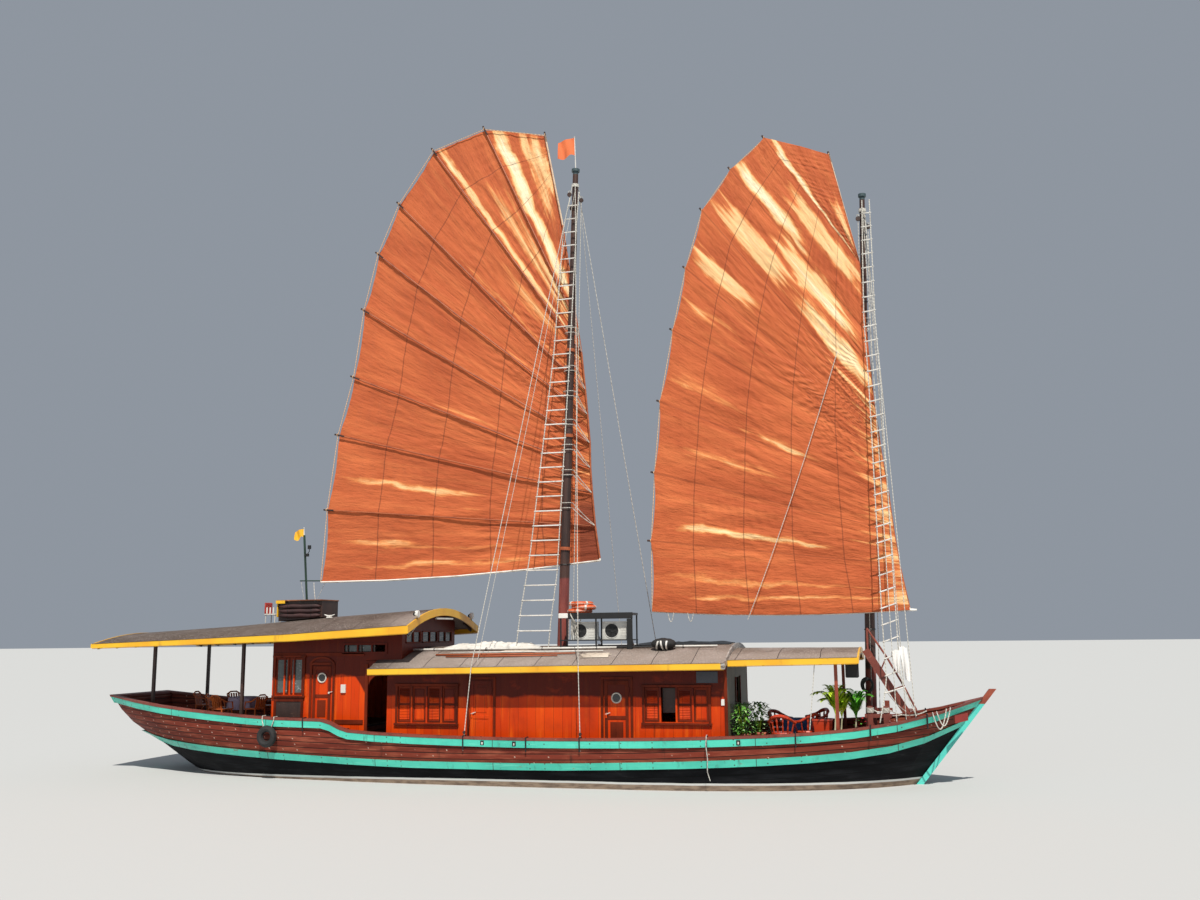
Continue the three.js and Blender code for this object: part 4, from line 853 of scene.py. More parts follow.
def lacing():
    """Lines from each batten's luff end up to a turn round the mast, and the boom's tip ahead of the tack."""
    for name, battens, y, (foot, head, _, _), r, rise in (("main", MAIN_BATTENS, MAIN_TRIM_Y, MAIN_MAST, 0.17, 0.72),
            ("fore", FORE_BATTENS, FORE_TRIM_Y, FORE_MAST, 0.15, 0.50)):
        lines = Mesh()
        for x0, z0, x1, z1 in battens[1:8]:
            for up, slack in ((rise, 0.02), (rise - 0.16, 0.05)):
                t = (z1 + up - foot[1]) / (head[1] - foot[1])
                centre = vec(foot[0] + (head[0] - foot[0]) * t, 0, z1 + up)
                turn = [centre + vec(cos(a) * (r + 0.03), sin(a) * (r + 0.03), 0.015 * sin(a))
                    for a in (TAU * k / 12 for k in range(13))]
                lines.tube(turn, 0.012, 5)
                lines.rope(turn[0] - vec(0, 0, 0.01), (x1, y, z1), 0.012, slack, 6, 5)
        lines.make(f"{name}_lacing", ROPE, f"{name}_sail_rig", slot="rope")
    tip = Mesh()
    tip.tube([(x, FORE_TRIM_Y, z) for x, z in ((11.50, 4.832), (11.66, 4.832), (11.80, 4.83))],
        [0.042, 0.040, 0.030], 9)
    tip.make("fore_boom_tip", WHITE, "fore_sail_rig", slot="spar_wood", smooth=True)


# Hull: x, rail z, half breadth at the rail
RAIL = [(-14.0, 2.43, 1.42), (-13.0, 2.30, 1.76), (-11.6, 2.15, 2.13), (-9.5, 1.99, 2.51), (-7.0, 1.85, 2.78),
    (-5.5, 1.83, 2.87), (-4.6, 1.53, 2.90), (-2.5, 1.43, 2.95), (1.0, 1.38, 3.0), (4.5, 1.42, 2.96),
    (7.0, 1.49, 2.74), (9.0, 1.58, 2.35), (10.8, 1.76, 1.74), (12.3, 2.06, 0.96), (13.45, 2.40, 0.075)]


def rail(x, side=-1, out=0.0):
    return vec(x, side * (row(RAIL, x, 2) + out), row(RAIL, x, 1))


def hull_trim():
    straps = Mesh()
    for side in (-1, 1):
        for x in (-6.1, -0.9, 1.0, 2.56, 6.1, 8.45, 10.4, 11.9):
            top = rail(x, side, 0.075)
            bottom = rail(x, side, 0.07) - vec(0, side * 0.01, 0.37)
            straps.tube([rail(x, side, -0.14) + vec(0, 0, 0.012), top + vec(0, 0, 0.012), top - vec(0, 0, 0.10),
                bottom], 0.022, 6)
    straps.make("rail_lashings", BLACK, slot="black_rubber")
    # Scuppers through the upper strake, each with a pale lip; each opening is a black plate, as painted shade
    scupper_shade_plates, lips = Mesh(), Mesh()
    for side in (-1, 1):
        for x in (-0.31, 0.65, 6.95):
            c = rail(x, side, 0.052) - vec(0, 0, 0.165)
            ys = sorted((c.y, c.y + side * 0.020))
            scupper_shade_plates.box((x - 0.055, x + 0.055), ys, (c.z - 0.065, c.z + 0.065), 0.006)
            lips.box((x - 0.02, x + 0.02), sorted((c.y, c.y + side * 0.024)), (c.z - 0.045, c.z + 0.02), 0.004)
    scupper_shade_plates.make("scuppers", BLACK, slot="steel")
    lips.make("scupper_lips", WHITE, slot="unit_shell")
    patch = Mesh()
    for side in (-1, 1):
        points = [(12.62, 1.72), (12.98, 1.79), (12.98, 1.99), (12.62, 1.93)]
        inner = [vec(x, side * (0.905 - (x - 12.3) * 0.72), z) for x, z in points]
        outer = [p + vec(0.02, side * 0.03, 0) for p in inner]
        patch.rings([inner, outer])
    patch.make("hawse_patches", worn_paint("hawse_red", (0.26, 0.03, 0.022), (0.17, 0.02, 0.016), (0.2, 0.1, 0.08)),
        slot="trim_paint")
    loops = Mesh()
    for dx, drop in ((0.0, 0.46), (0.11, 0.40)):
        a, b = rail(12.05 + dx, -1, 0.08), rail(12.42 + dx, -1, 0.08)
        path = [a + vec(0, 0.12, 0.02), a + vec(0, 0, 0.02)]
        for k in range(1, 12):
            t = k / 12
            path.append(a.lerp(b, t) - vec(0, 0.02 * sin(t * pi), drop * sin(t * pi)))
        path += [b + vec(0, 0, 0.02), b + vec(0, 0.12, 0.02)]
        loops.tube(path, 0.016, 6)
    side_line = [vec(6.12, -2.93, 1.52), vec(6.12, -3.02, 1.50), vec(6.10, -3.01, 1.25), vec(6.13, -2.96, 0.9),
        vec(6.10, -2.86, 0.55), vec(6.15, -2.74, 0.3)]
    loops.tube(side_line, 0.013, 6)
    for x in (-7.52, -7.1):
        loops.tube([rail(x, -1, -0.1) + vec(0, 0, 0.015), rail(x, -1, 0.08) + vec(0, 0, 0.015), rail(x, -1, 0.09)
            - vec(0, 0, 0.1), vec(-7.3 + (x + 7.3) * 0.5, -2.87, 1.50)], 0.016, 6)
    loops.make("hull_ropes", ROPE, slot="rope")


def rail_bolts():
    """Bolt heads along the cap rail."""
    marks = Mesh()
    for side in (-1, 1):
        x = -13.4
        while x < 12.8:
            p = rail(x, side, -0.03)
            marks.disc(p + vec(0, 0, -0.004), 0.018, 0.010, "z", 8)
            x += 0.62
    marks.make("rail_bolts", BLACK, slot="steel")


# House: openings as in the solids, in metres
HOUSE_WINDOWS = [((-3.40, -1.53), (1.69, 2.76), ("louvre", "plain", "louvre", "plain")),
    ((4.22, 6.04), (1.78, 2.74), ("louvre", "open", "louvre", "plain"))]
CABIN_WINDOWS = [((-7.56, -6.62), (2.48, 3.62), ("glass", "glass"))]
DOORS = [("door_aft", (-1.09, -0.38), (1.0, 2.95), 2.048, False),
    ("door_fore", (3.01, 3.77), (1.02, 2.95), 2.048, True), ("cabin_door", (-6.30, -5.63), (1.58, 3.38), 2.042, True)]
# The side wall's face, and how far the faces of things on it lie from the centreline
WALL = 2.049
LEAF, CASING, BOARD = (2.031, 2.052), (2.076, 2.094), (WALL, 2.082)
# A louvre slat's section: distance from the centreline, and height
SLAT = ((2.032, 0.030), (2.036, 0.036), (2.050, 0.006), (2.046, 0.0))


def side_box(mesh, side, x, y, z, bevel=0.004):
    """A box on a side wall; y is how far its two faces lie from the centreline."""
    mesh.box(x, sorted(side * v for v in y), z, bevel)


def windows():
    wood, slats, glass, open_pane_shade = Mesh(), Mesh(), Mesh(), Mesh()
    for side in (-1, 1):
        for (x0, x1), (z0, z1), panels in HOUSE_WINDOWS + CABIN_WINDOWS:
            # Architrave, sill and head board
            for xx in ((x0 - 0.075, x0 - 0.005), (x1 + 0.005, x1 + 0.075)):
                side_box(wood, side, xx, CASING, (z0 - 0.06, z1 + 0.06))
            side_box(wood, side, (x0 - 0.10, x1 + 0.10), (2.076, 2.115), (z1 + 0.005, z1 + 0.07))
            side_box(wood, side, (x0 - 0.10, x1 + 0.10), (2.076, 2.125), (z0 - 0.075, z0 - 0.015))
            width, middle = (x1 - x0 + 0.05) / len(panels), (z0 + z1) / 2
            for k, kind in enumerate(panels):
                a, b = x0 + k * width, x0 + (k + 1) * width - 0.05
                if kind != "open":
                    for zz in ((z0 + 0.004, z0 + 0.07), (z1 - 0.07, z1 - 0.004)):
                        side_box(wood, side, (a + 0.004, b - 0.004), LEAF, zz)
                    for xx in ((a + 0.004, a + 0.055), (b - 0.055, b - 0.004)):
                        side_box(wood, side, xx, LEAF, (z0 + 0.07, z1 - 0.07))
                if kind in ("louvre", "plain"):
                    side_box(wood, side, (a + 0.055, b - 0.055), (2.031, 2.050), (middle - 0.03, middle + 0.03))
                if kind == "louvre":
                    z = z0 + 0.10
                    while z < z1 - 0.11:
                        if abs(z - middle) > 0.05:
                            slats.rings([[(xx, side * y, z + up) for y, up in SLAT] for xx in (a + 0.056, b - 0.056)])
                        z += 0.045
                elif kind == "plain":
                    for zz in ((z0 + 0.10, middle - 0.05), (middle + 0.05, z1 - 0.10)):
                        side_box(slats, side, (a + 0.075, b - 0.075), (2.031, 2.043), zz, 0.008)
                elif kind == "glass":
                    side_box(glass, side, (a + 0.056, b - 0.056), (2.031, 2.038), (z0 + 0.07, z1 - 0.07), 0.002)
                else:
                    # A dark sheet behind the open leaf: painted shade for the dim room inside
                    side_box(open_pane_shade, side, (a + 0.02, b - 0.02), (1.90, 1.93), (z0 + 0.25, z1 - 0.02))
    wood.make("window_frames", FRAME_WOOD, slot="varnish")
    slats.make("window_louvres", PAINTS["varnish"], slot="varnish")
    glass.make("cabin_panes", PANES_WITH_PAINTED_REFLECTIONS, slot="varnish")
    open_pane_shade.make("open_window_shade_sheets", DARK, slot="dark_wood")


def doors():
    for name, (x0, x1), (z0, z1), face, port in DOORS:
        for side, tag in ((-1, "starboard"), (1, "port")):
            trim, metal, bright = Mesh(), Mesh(), Mesh()
            near, far = face - 0.001, face + 0.016
            for xx in ((x0 + 0.03, x0 + 0.12), (x1 - 0.12, x1 - 0.03)):
                side_box(trim, side, xx, (near, far), (z0 + 0.03, z1 - 0.03))
            for zz in ((z0 + 0.03, z0 + 0.17), (z0 + 0.82, z0 + 0.92), (z1 - 0.14, z1 - 0.03)):
                side_box(trim, side, (x0 + 0.12, x1 - 0.12), (near, far), zz)
            side_box(trim, side, (x0 + 0.19, x1 - 0.19), (near, far - 0.006), (z0 + 0.24, z0 + 0.75), 0.012)
            middle = (x0 + x1) / 2
            if port:
                bright.ring((middle, side * (face + 0.014), z0 + 1.42), 0.135, 0.022, "y", 28, 8)
                metal.disc((middle, side * face - 0.004, z0 + 1.42), 0.12, 0.008, "y", 24)
            else:
                side_box(trim, side, (x0 + 0.19, x1 - 0.19), (near, far - 0.006), (z0 + 1.0, z1 - 0.22), 0.012)
            knob = x1 - 0.0775 if name == "cabin_door" else x0 + 0.0775
            bright.disc((knob, side * (face + 0.030) - 0.014, z0 + 0.97), 0.032, 0.028, "y", 12)
            bright.tube([(knob, side * (face + 0.034), z0 + 0.97), (knob + 0.05, side * (face + 0.036), z0 + 0.985),
                (knob + 0.12, side * (face + 0.036), z0 + 1.01)], [0.014, 0.016, 0.010], 7)
            body = f"{name}_{tag}"
            trim.make(f"{body}_panels", FRAME_WOOD if port else PAINTS["varnish"], body, slot="varnish")
            if port:
                metal.make(f"{body}_port_glass", GLASS, body, slot="bronze")
            bright.make(f"{body}_fittings", BRIGHT, body, slot="bronze")


ARCH_AT = (-5.965, 3.38)


def house_trim():
    wood, plate, white, dark, panes = Mesh(), Mesh(), Mesh(), Mesh(), Mesh()
    for side in (-1, 1):
        # Door casings on the wall, clear of the leaves
        for name, (x0, x1), (z0, z1), face, port in DOORS:
            for xx in ((x0 - 0.085, x0 - 0.01), (x1 + 0.03, x1 + 0.105)):
                side_box(wood, side, xx, (WALL, 2.072), (z0, z1 + 0.07))
            side_box(wood, side, (x0 - 0.085, x1 + 0.105), (WALL, 2.078), (z1 + 0.008, z1 + 0.085))
        # Corner posts
        for x in (-4.45, 6.535):
            side_box(wood, side, (x - 0.045, x + 0.045), (WALL, 2.085), (1.08, 3.42))
        # Boards along the wall, then the cabin's sills and the band below its upper panes
        for xx, yy, zz in (((-3.74, -1.2), BOARD, (1.03, 1.16)), ((-0.26, 2.9), BOARD, (1.01, 1.14)),
                ((3.9, 6.5), BOARD, (1.04, 1.18)), ((-4.40, 6.50), (WALL, 2.072), (3.20, 3.30)),
                ((-7.66, -6.42), (WALL, 2.075), (1.62, 1.75)), ((-5.50, -4.55), (WALL, 2.075), (1.62, 1.75)),
                ((-7.66, -4.55), (WALL, 2.078), (3.66, 3.76))):
            side_box(wood, side, xx, yy, zz)
        # The arched carving over the cabin's door
        ax, az = ARCH_AT
        rings = []
        for a in (pi * k / 14 for k in range(15)):
            x, z = ax + 0.44 * cos(a), az + 0.26 * sin(a)
            under_x, under_z = ax + (x - ax) * 0.84, az + (z - az) * 0.8
            rings.append([(x, side * WALL, z), (x, side * 2.085, z), (under_x, side * 2.085, under_z),
                (under_x, side * WALL, under_z)])
        wood.rings(rings)
        side_box(white, side, (-5.30, -5.14), (2.05, 2.10), (2.55, 2.80))
        side_box(white, side, (6.40, 6.50), (2.05, 2.085), (2.25, 2.42))
        # A dark panel under the cabin window: painted shade in its recess
        side_box(dark, side, (-7.52, -6.66), (WALL, 2.062), (1.80, 2.28), 0.010)
        for xx in ((-7.60, -7.52), (-6.66, -6.58)):
            side_box(wood, side, xx, (WALL, 2.080), (1.76, 2.40))
        side_box(wood, side, (-7.60, -6.58), (WALL, 2.084), (2.28, 2.40))
        for xx in ((-5.48, -5.14), (-5.10, -4.68), (-4.64, -4.23)):
            side_box(panes, side, xx, (2.012, 2.020), (3.79, 3.98), 0.003)
        # A bare plate by the front corner
        side_box(plate, side, (5.71, 6.32), (2.05, 2.066), (2.86, 3.18), 0.006)
        for x in (-5.12, -4.66, -4.21):
            side_box(dark, side, (x - 0.02, x + 0.02), (2.0, 2.07), (3.78, 3.99))
        # The curved bracket at the side passage
        bracket = [(-4.40 + 0.34 * (1 - cos(a)), 3.07 - 0.36 * (1 - sin(a)))
            for a in (pi / 2 * k / 8 for k in range(9))]
        wood.rings([[(x, side * 2.01, z), (x, side * 2.04, z), (x - 0.012, side * 2.04, 3.075),
            (x - 0.012, side * 2.01, 3.075)] for x, z in bracket[1:]])
    wood.make("wall_trim", FRAME_WOOD, slot="varnish")
    white.make("switch_boxes", WHITE, slot="unit_shell")
    plate.make("bare_plates", worn_paint("plate_face", (0.05, 0.055, 0.07), (0.03, 0.033, 0.045), (0.2, 0.2, 0.2),
        0.35, 0.75), slot="steel")
    dark.make("upper_mullions_and_recess_shade", DARK, slot="dark_wood")
    panes.make("upper_panes", PANES_WITH_PAINTED_REFLECTIONS, slot="varnish")


def front_windows():
    """Panes and mullions of the wheelhouse, and posts of the two end bulkheads."""
    wood, glass = Mesh(), Mesh()
    for a, b in ((-1.8, -0.7), (-0.6, 0.6), (0.7, 1.8)):
        glass.box((-3.335, -3.325), (a + 0.05, b - 0.05), (4.06, 4.37), 0.003)
        for z in (4.02, 4.36):
            wood.box((-3.345, -3.285), (a, b), (z, z + 0.045))
        for y in (a, (a + b) / 2 - 0.02, b - 0.045):
            wood.box((-3.345, -3.285), (y, y + 0.045), (4.02, 4.40))
    for x, z0, z1, roof_gap in ((6.575, 1.10, 2.97, 0.5), (-7.71, 1.66, 3.52, 0.45)):
        for y in (-roof_gap, roof_gap - 0.07):
            wood.box((x, x + 0.03) if x > 0 else (x - 0.01, x + 0.02), (y, y + 0.07), (z0, z1))
    wood.make("end_frames", FRAME_WOOD, slot="varnish")
    glass.make("wheelhouse_panes", GLASS, slot="varnish")


# Roofs
def edge_boards():
    """The second, lower board under each fascia, and the lead strip over its top."""
    low, strip = Mesh(), Mesh()
    for rows, depths in ((AFT_ROOF, (0.12, 0.15, 0.175, 0.19, 0.22)), (MID_ROOF, (0.15, 0.15, 0.15)),
            (FORE_ROOF, (0.15, 0.15))):
        for side in (-1, 1):
            board, lead = [], []
            for (x, half, edge, crown), depth in zip(rows, depths):
                y0, y1, z = half + 0.002, half + 0.028, edge - depth
                board.append([(x, side * y0, z - 0.022), (x, side * y1, z - 0.022), (x, side * y1, z - 0.004),
                    (x, side * y0, z - 0.004)])
                y1 = half + 0.056
                lead.append([(x, side * (half - 0.06), edge + 0.016), (x, side * y1, edge + 0.016),
                    (x, side * y1, edge + 0.026), (x, side * (half - 0.06), edge + 0.034)])
            low.rings(board)
            strip.rings(lead)
    low.make("lower_edge_boards", YELLOW, slot="fascia_paint")
    strip.make("roof_edge_strips", PAINTS["roof_felt"], slot="roof_felt")
    # Rafter ends seen under the eaves
    ends = Mesh()
    for rows, count in ((AFT_ROOF, 16), (MID_ROOF, 17), (FORE_ROOF, 5)):
        x0, x1 = rows[0][0] + 0.2, rows[-1][0] - 0.2
        for i in range(count):
            x = x0 + (x1 - x0) * i / (count - 1)
            half = row(rows, x, 1)
            for side in (-1, 1):
                ring = []
                for y in (2.12 if half > 2.5 else 0.3, half - 0.01):
                    z = roof_z(rows, x, y) - 0.095
                    ring.append([(x - 0.03, side * y, z - 0.07), (x + 0.03, side * y, z - 0.07),
                        (x + 0.03, side * y, z), (x - 0.03, side * y, z)])
                ends.rings(ring)
    ends.make("rafter_ends", DARK, slot="dark_wood")


def roof_gear():
    pipes, poles, lamps, dark = Mesh(), Mesh(), Mesh(), Mesh()

    def on(x, y, up):
        return vec(x, y, roof_z(MID_ROOF, x, y) + up)

    pipes.tube([on(x, -1.22, 0.05) for x in (-3.7, -2.2, -0.4, 1.4, 3.2)], [0.030, 0.032, 0.034, 0.034, 0.030], 8)
    pipes.tube([on(x, -1.20, 0.05) for x in (4.6, 5.4, 6.2)], [0.032, 0.030, 0.024], 8)
    pipes.tube([on(x, -1.62, 0.05) for x in (-1.9, -0.4, 1.3, 2.9)], [0.018, 0.022, 0.022, 0.018], 7)
    dark.tube([on(x, -1.21, 0.05) for x in (3.15, 3.9, 4.65)], 0.030, 8)
    for x in (-2.6, -0.9, 0.9, 2.6, 5.2):
        dark.ring(on(x, -1.22, 0.045), 0.055, 0.010, "x", 12, 5, 0.9)
    poles.tube([on(x, -1.80, 0.04) for x in (-2.3, -0.5, 1.1, 2.1)], [0.026, 0.028, 0.026, 0.018], 7)
    poles.tube([on(x, -1.98, 0.04) for x in (-1.9, -0.2, 1.6)], [0.022, 0.026, 0.018], 7)
    poles.tube([on(x, 1.2, 0.05) for x in (-3.0, 0.5, 4.0)], [0.035, 0.03, 0.025], 7)
    # Round lamps on the gable, the tube light, and a horn
    for y in (-2.2, 2.2):
        z = roof_z(AFT_ROOF, -2.8, y) + 0.14
        lamps.disc((-2.80, y, z), 0.11, 0.10, "x", 18)
        dark.disc((-2.795, y - 0.105, z), 0.055, 0.03, "y", 14)
        dark.tube([(-2.76, y, z - 0.16), (-2.76, y, z - 0.05)], 0.018, 6)
    lamps.tube([(-2.80, -0.65, 4.78), (-2.80, 0.65, 4.78)], 0.032, 10)
    dark.box((-2.842, -2.80), (-0.7, 0.7), (4.80, 4.83))
    pipes.make("roof_pipes", WHITE, slot="unit_shell", smooth=True)
    poles.make("roof_poles", SPAR, slot="spar_wood", smooth=True)
    lamps.make("roof_lamps", WHITE, slot="unit_shell")
    dark.make("roof_fixings", BLACK, slot="steel")
    # A dark tied bundle on the roof
    bundle, tape = Mesh(), Mesh()
    c = on(4.66, -1.42, 0.17)
    rings = []
    for i in range(15):
        s = -1 + 2 * i / 14
        r = sqrt(max(0.02, 1 - s * s)) ** 0.8
        rings.append([c + vec(0.36 * s, r * 0.27 * cos(b) * (1 + 0.10 * noise.noise((s * 4, b * 2, 1.0))),
            r * 0.165 * sin(b) * (1 + 0.16 * noise.noise((s * 5, b * 2, 4.0))))
            for b in (TAU * k / 18 for k in range(18))])
    bundle.rings(rings)
    bundle.make("roof_bundle", PAINTS["black_rubber"], slot="black_rubber", smooth=True)
    for s, lean in ((-0.45, 0.05), (-0.12, -0.03), (0.30, 0.02)):
        r = sqrt(1 - s * s) ** 0.8
        tape.rings([[c + vec(0.36 * s + shift + lean * sin(b), r * 0.292 * cos(b), r * 0.182 * sin(b))
            for b in (radians(k) for k in range(150, 271, 12))] for shift in (0.0, 0.05)], False)
    tape.make("roof_bundle_ties", WHITE, slot="unit_shell")
    line = Mesh()
    line.rope((-2.86, -1.52, 4.83), (-3.72, -1.55, 3.78), 0.017, 0.02, 8, 6)
    line.make("gable_line", ROPE, slot="rope")


def cloth_heap(name, centre, size, height, paint, seed):
    """A heap of folded cloth: a crumpled mound that lies on the roof."""
    n, m = 44, 26
    points = []
    for i in range(m + 1):
        for j in range(n + 1):
            s, t = 2 * j / n - 1, 2 * i / m - 1
            x, y = centre[0] + s * size[0], centre[1] + t * size[1]
            edge = max(0.0, 1 - s ** 4) * max(0.0, 1 - t ** 4)
            fold = 0.5 + 0.5 * noise.fractal((s * 3.2 + seed, t * 2.4, seed), 0.7, 2.2, 5)
            wobble = 0.12 * noise.noise((s * 2, t * 2, seed + 5))
            base = roof_z(MID_ROOF, x, y)
            points.append((x + wobble, y + wobble * 0.5, base + 0.02 + height * edge * max(0.0, fold)))
    cloth = Mesh()
    cloth.add(points, grid_faces(n, m))
    piece = cloth.make(name, paint, smooth=True, slot="rope")


def cooling_units():
    grille, frames, pipes, wells = Mesh(), Mesh(), Mesh(), Mesh()
    for x in (1.75, 2.73):
        c = vec(x + 0.29, -1.086, 4.34)
        wells.disc(c + vec(0, 0.017, 0), 0.205, 0.008, "y", 30)
        for r in (0.04, 0.08, 0.12, 0.16, 0.20):
            grille.ring(c, r, 0.004, "y", 26, 4)
        for k in range(12):
            a = TAU * k / 12
            out = vec(cos(a), 0, sin(a))
            grille.tube([c + out * 0.03, c + out * 0.20], 0.004, 4)
        for k in range(5):
            a = TAU * k / 5 + 0.3
            out, across = vec(cos(a), 0, sin(a)), vec(-sin(a), 0, cos(a))
            hub = c + vec(0, 0.014, 0)
            blade = [hub + out * 0.03, hub + out * 0.17 + across * 0.03, hub + out * 0.18 + across * 0.10,
                hub + out * 0.06 + across * 0.05]
            grille.rings([blade, [p + vec(0, 0.006, 0) for p in blade]])
        for k in range(9):
            z = 4.16 + 0.045 * k
            frames.box((x + 0.56, x + 0.74), (-1.090, -1.078), (z, z + 0.018), 0.003)
        frames.box((x - 0.004, x + 0.794), (-1.088, -0.762), (4.592, 4.612), 0.004)
        frames.ring(c, 0.215, 0.010, "y", 30, 6)
        pipes.tube([(x + 0.75, -0.79, 4.2), (x + 0.80, -0.75, 4.15), (x + 0.82, -0.62, 4.0),
            (x + 0.82, -0.5, roof_z(MID_ROOF, x + 0.82, -0.5) + 0.03),
            (x + 0.6, -0.2, roof_z(MID_ROOF, x, -0.2) + 0.03)], 0.018, 6)
    grille.make("unit_fans", BLACK, slot="steel")
    wells.make("unit_fan_wells", worn_paint("fan_grey", (0.045, 0.046, 0.048), (0.025, 0.026, 0.028),
        (0.12, 0.12, 0.11), 0.6), slot="steel")
    # The rack's top boards, worn white at the aft end, and the boards of its fore side
    boards, worn, ties = Mesh(), Mesh(), Mesh()
    boards.box((1.72, 3.71), (-1.285, -1.2515), (4.69, 4.872), 0.010)
    boards.box((3.53, 3.69), (-1.280, -1.2515), (3.72, 4.685), 0.008)
    worn.box((1.42, 1.716), (-1.287, -1.2515), (4.72, 4.866), 0.012)
    for k in range(6):
        a = 0.9 * k
        ties.rope((1.84 + 0.05 * cos(a), -1.18, 4.79),
            (1.90 + 0.12 * sin(a), -1.16 + 0.02 * cos(a), 4.09 + 0.03 * k), 0.012, 0.03, 10, 5)
    ties.rope((1.80, -1.295, 4.86), (1.96, -1.295, 4.62), 0.016, 0.05, 8, 5)
    ties.rope((1.86, -1.15, 4.40), (2.16, -1.16, 4.79), 0.013, 0.04, 8, 5)
    boards.make("rack_boards", BLACK, slot="steel")
    worn.make("rack_worn_board", WHITE, slot="unit_shell")
    ties.make("rack_ties", ROPE, slot="rope")
    frames.make("unit_trim", WHITE, slot="unit_shell")
    pipes.make("unit_pipes", WHITE, slot="unit_shell")


def buoy_bands():
    bands, cord = Mesh(), Mesh()
    for k in range(3):
        c = vec(2.05 + (-0.06, 0.06, -0.02)[k], -0.9, 4.9325 + 0.11 * k)
        for q in range(4):
            a0 = TAU * q / 4 + 0.35 * k
            rings = []
            for i in range(4):
                a = a0 + 0.16 * i / 3
                out = vec(cos(a), sin(a), 0)
                rings.append([c + out * (0.31 + 0.074 * cos(b)) + vec(0, 0, 0.074 * sin(b))
                    for b in (TAU * m / 12 for m in range(12))])
            bands.rings(rings)
        cord.ring(c, 0.388, 0.006, "z", 32, 4)
    bands.make("buoy_bands", WHITE, slot="unit_shell")
    cord.make("buoy_cords", ROPE, slot="rope")


def aft_roof_gear():
    # The locker's rolled cushions and its lid
    rolls, lid, end = Mesh(), Mesh(), Mesh()
    for k, z in enumerate((4.93, 5.08, 5.23)):
        path = [(x, -0.80, z + 0.010 * sin(x * 9 + k)) for x in (-8.28, -8.1, -7.8, -7.5, -7.2, -6.95, -6.80)]
        rolls.tube(path, [0.03, 0.066, 0.070, 0.072, 0.070, 0.066, 0.03], 12)
        for x in (-7.95, -7.1):
            end.ring((x, -0.80, z), 0.071, 0.008, "x", 14, 5)
    lid.box((-8.36, -6.74), (-0.86, 0.33), (5.405, 5.445), 0.008)
    for x in (-8.1, -7.5, -6.95):
        end.ring((x, -0.865, 5.38), 0.030, 0.008, "y", 12, 5)
    stripes = Mesh()
    stripes.box((-8.385, -8.350), (-0.80, -0.05), (4.90, 5.40), 0.006)
    stripes.box((-8.385, -8.05), (-0.872, -0.862), (5.33, 5.43), 0.004)
    rolls.make("locker_rolls", worn_paint("roll_cover", (0.060, 0.022, 0.022), (0.030, 0.012, 0.013),
        (0.14, 0.07, 0.06), 0.7), slot="dark_wood", smooth=True)
    stripes.make("locker_end_boards", YELLOW, slot="fascia_paint")
    end.make("locker_ties", BLACK, slot="steel")
    lid.make("locker_lid", worn_paint("lid_brown", (0.26, 0.09, 0.03), (0.13, 0.04, 0.018), (0.5, 0.25, 0.1), 0.6,
        0.55), slot="dark_wood")
    # A small red and white seat beside it
    seat, back = Mesh(), Mesh()
    base = roof_z(AFT_ROOF, -8.75, -0.4)
    for x in (-8.92, -8.58):
        for y in (-0.58, -0.24):
            seat.tube([(x, y, base + 0.005), (x * 0.999, y, base + 0.26)], 0.018, 6)
    seat.box((-8.96, -8.54), (-0.62, -0.20), (base + 0.25, base + 0.29), 0.012)
    back.box((-8.96, -8.90), (-0.62, -0.20), (base + 0.29, base + 0.66), 0.02)
    for x in (-8.88, -8.76, -8.64):
        seat.box((x, x + 0.05), (-0.625, -0.612), (base + 0.29, base + 0.50), 0.006)
    seat.make("roof_seat", WHITE, slot="unit_shell")
    back.make("roof_seat_back", worn_paint("seat_red", (0.50, 0.04, 0.03), (0.35, 0.03, 0.02), (0.6, 0.3, 0.2)),
        slot="buoy_shell")
    # Signal post: lamp, halyard, a cleat and a pennant
    post, line = Mesh(), Mesh()
    post.disc((-8.10, 0.52, 6.95), 0.07, 0.10, "z", 14)
    post.tube([(-8.12, 0.52, 7.0), (-8.02, 0.52, 7.12), (-8.02, 0.52, 7.2)], 0.014, 6)
    post.disc((-8.02, 0.52, 7.2), 0.06, 0.13, "z", 14)
    post.tube([(-7.32, 0.52, 6.12), (-7.32, 0.52, 6.42)], [0.02, 0.012], 6)
    line.rope((-7.36, 0.52, 6.11), (-7.95, 0.47, 5.0), 0.007, 0.05, 8, 4)
    line.rope((-8.30, 0.52, 6.13), (-8.05, 0.57, 5.0), 0.007, 0.05, 8, 4)
    line.rope((-7.4, -0.2, 6.02), (-7.1, -0.5, 5.44), 0.012, 0.25, 10, 5)
    post.make("signal_fittings", BLACK, slot="green_paint")
    line.make("signal_lines", ROPE, slot="rope")
    cleat = Mesh()
    z = roof_z(AFT_ROOF, -6.35, -1.0)
    cleat.box((-6.45, -6.25), (-1.04, -0.96), (z + 0.004, z + 0.05), 0.01)
    cleat.tube([(-6.53, -1.0, z + 0.12), (-6.42, -1.0, z + 0.08), (-6.28, -1.0, z + 0.08), (-6.17, -1.0, z + 0.12)],
        [0.014, 0.024, 0.024, 0.014], 7)
    cleat.tube([(-6.35, -1.0, z + 0.04), (-6.35, -1.0, z + 0.09)], 0.03, 7)
    cleat.make("roof_cleat", WHITE, slot="unit_shell")


# Deck furniture, plants and the bow
MAIN_DECK = [(-5.0, 0.96), (2.0, 0.94), (7.0, 1.0), (10.0, 1.12), (12.3, 1.44)]
POOP_DECK = [(-13.85, 1.64), (-9.0, 1.54), (-5.0, 1.5)]


def placer(x, y, floor, turn):
    """A function from a chair's own forward, side and height to the boat's frame."""
    c, s = cos(turn), sin(turn)
    return lambda a, b, h: vec(x + a * c - b * s, y + a * s + b * c, floor + h)


LEGS = ((-0.2, -0.2), (0.2, -0.2), (0.2, 0.2), (-0.2, 0.2))


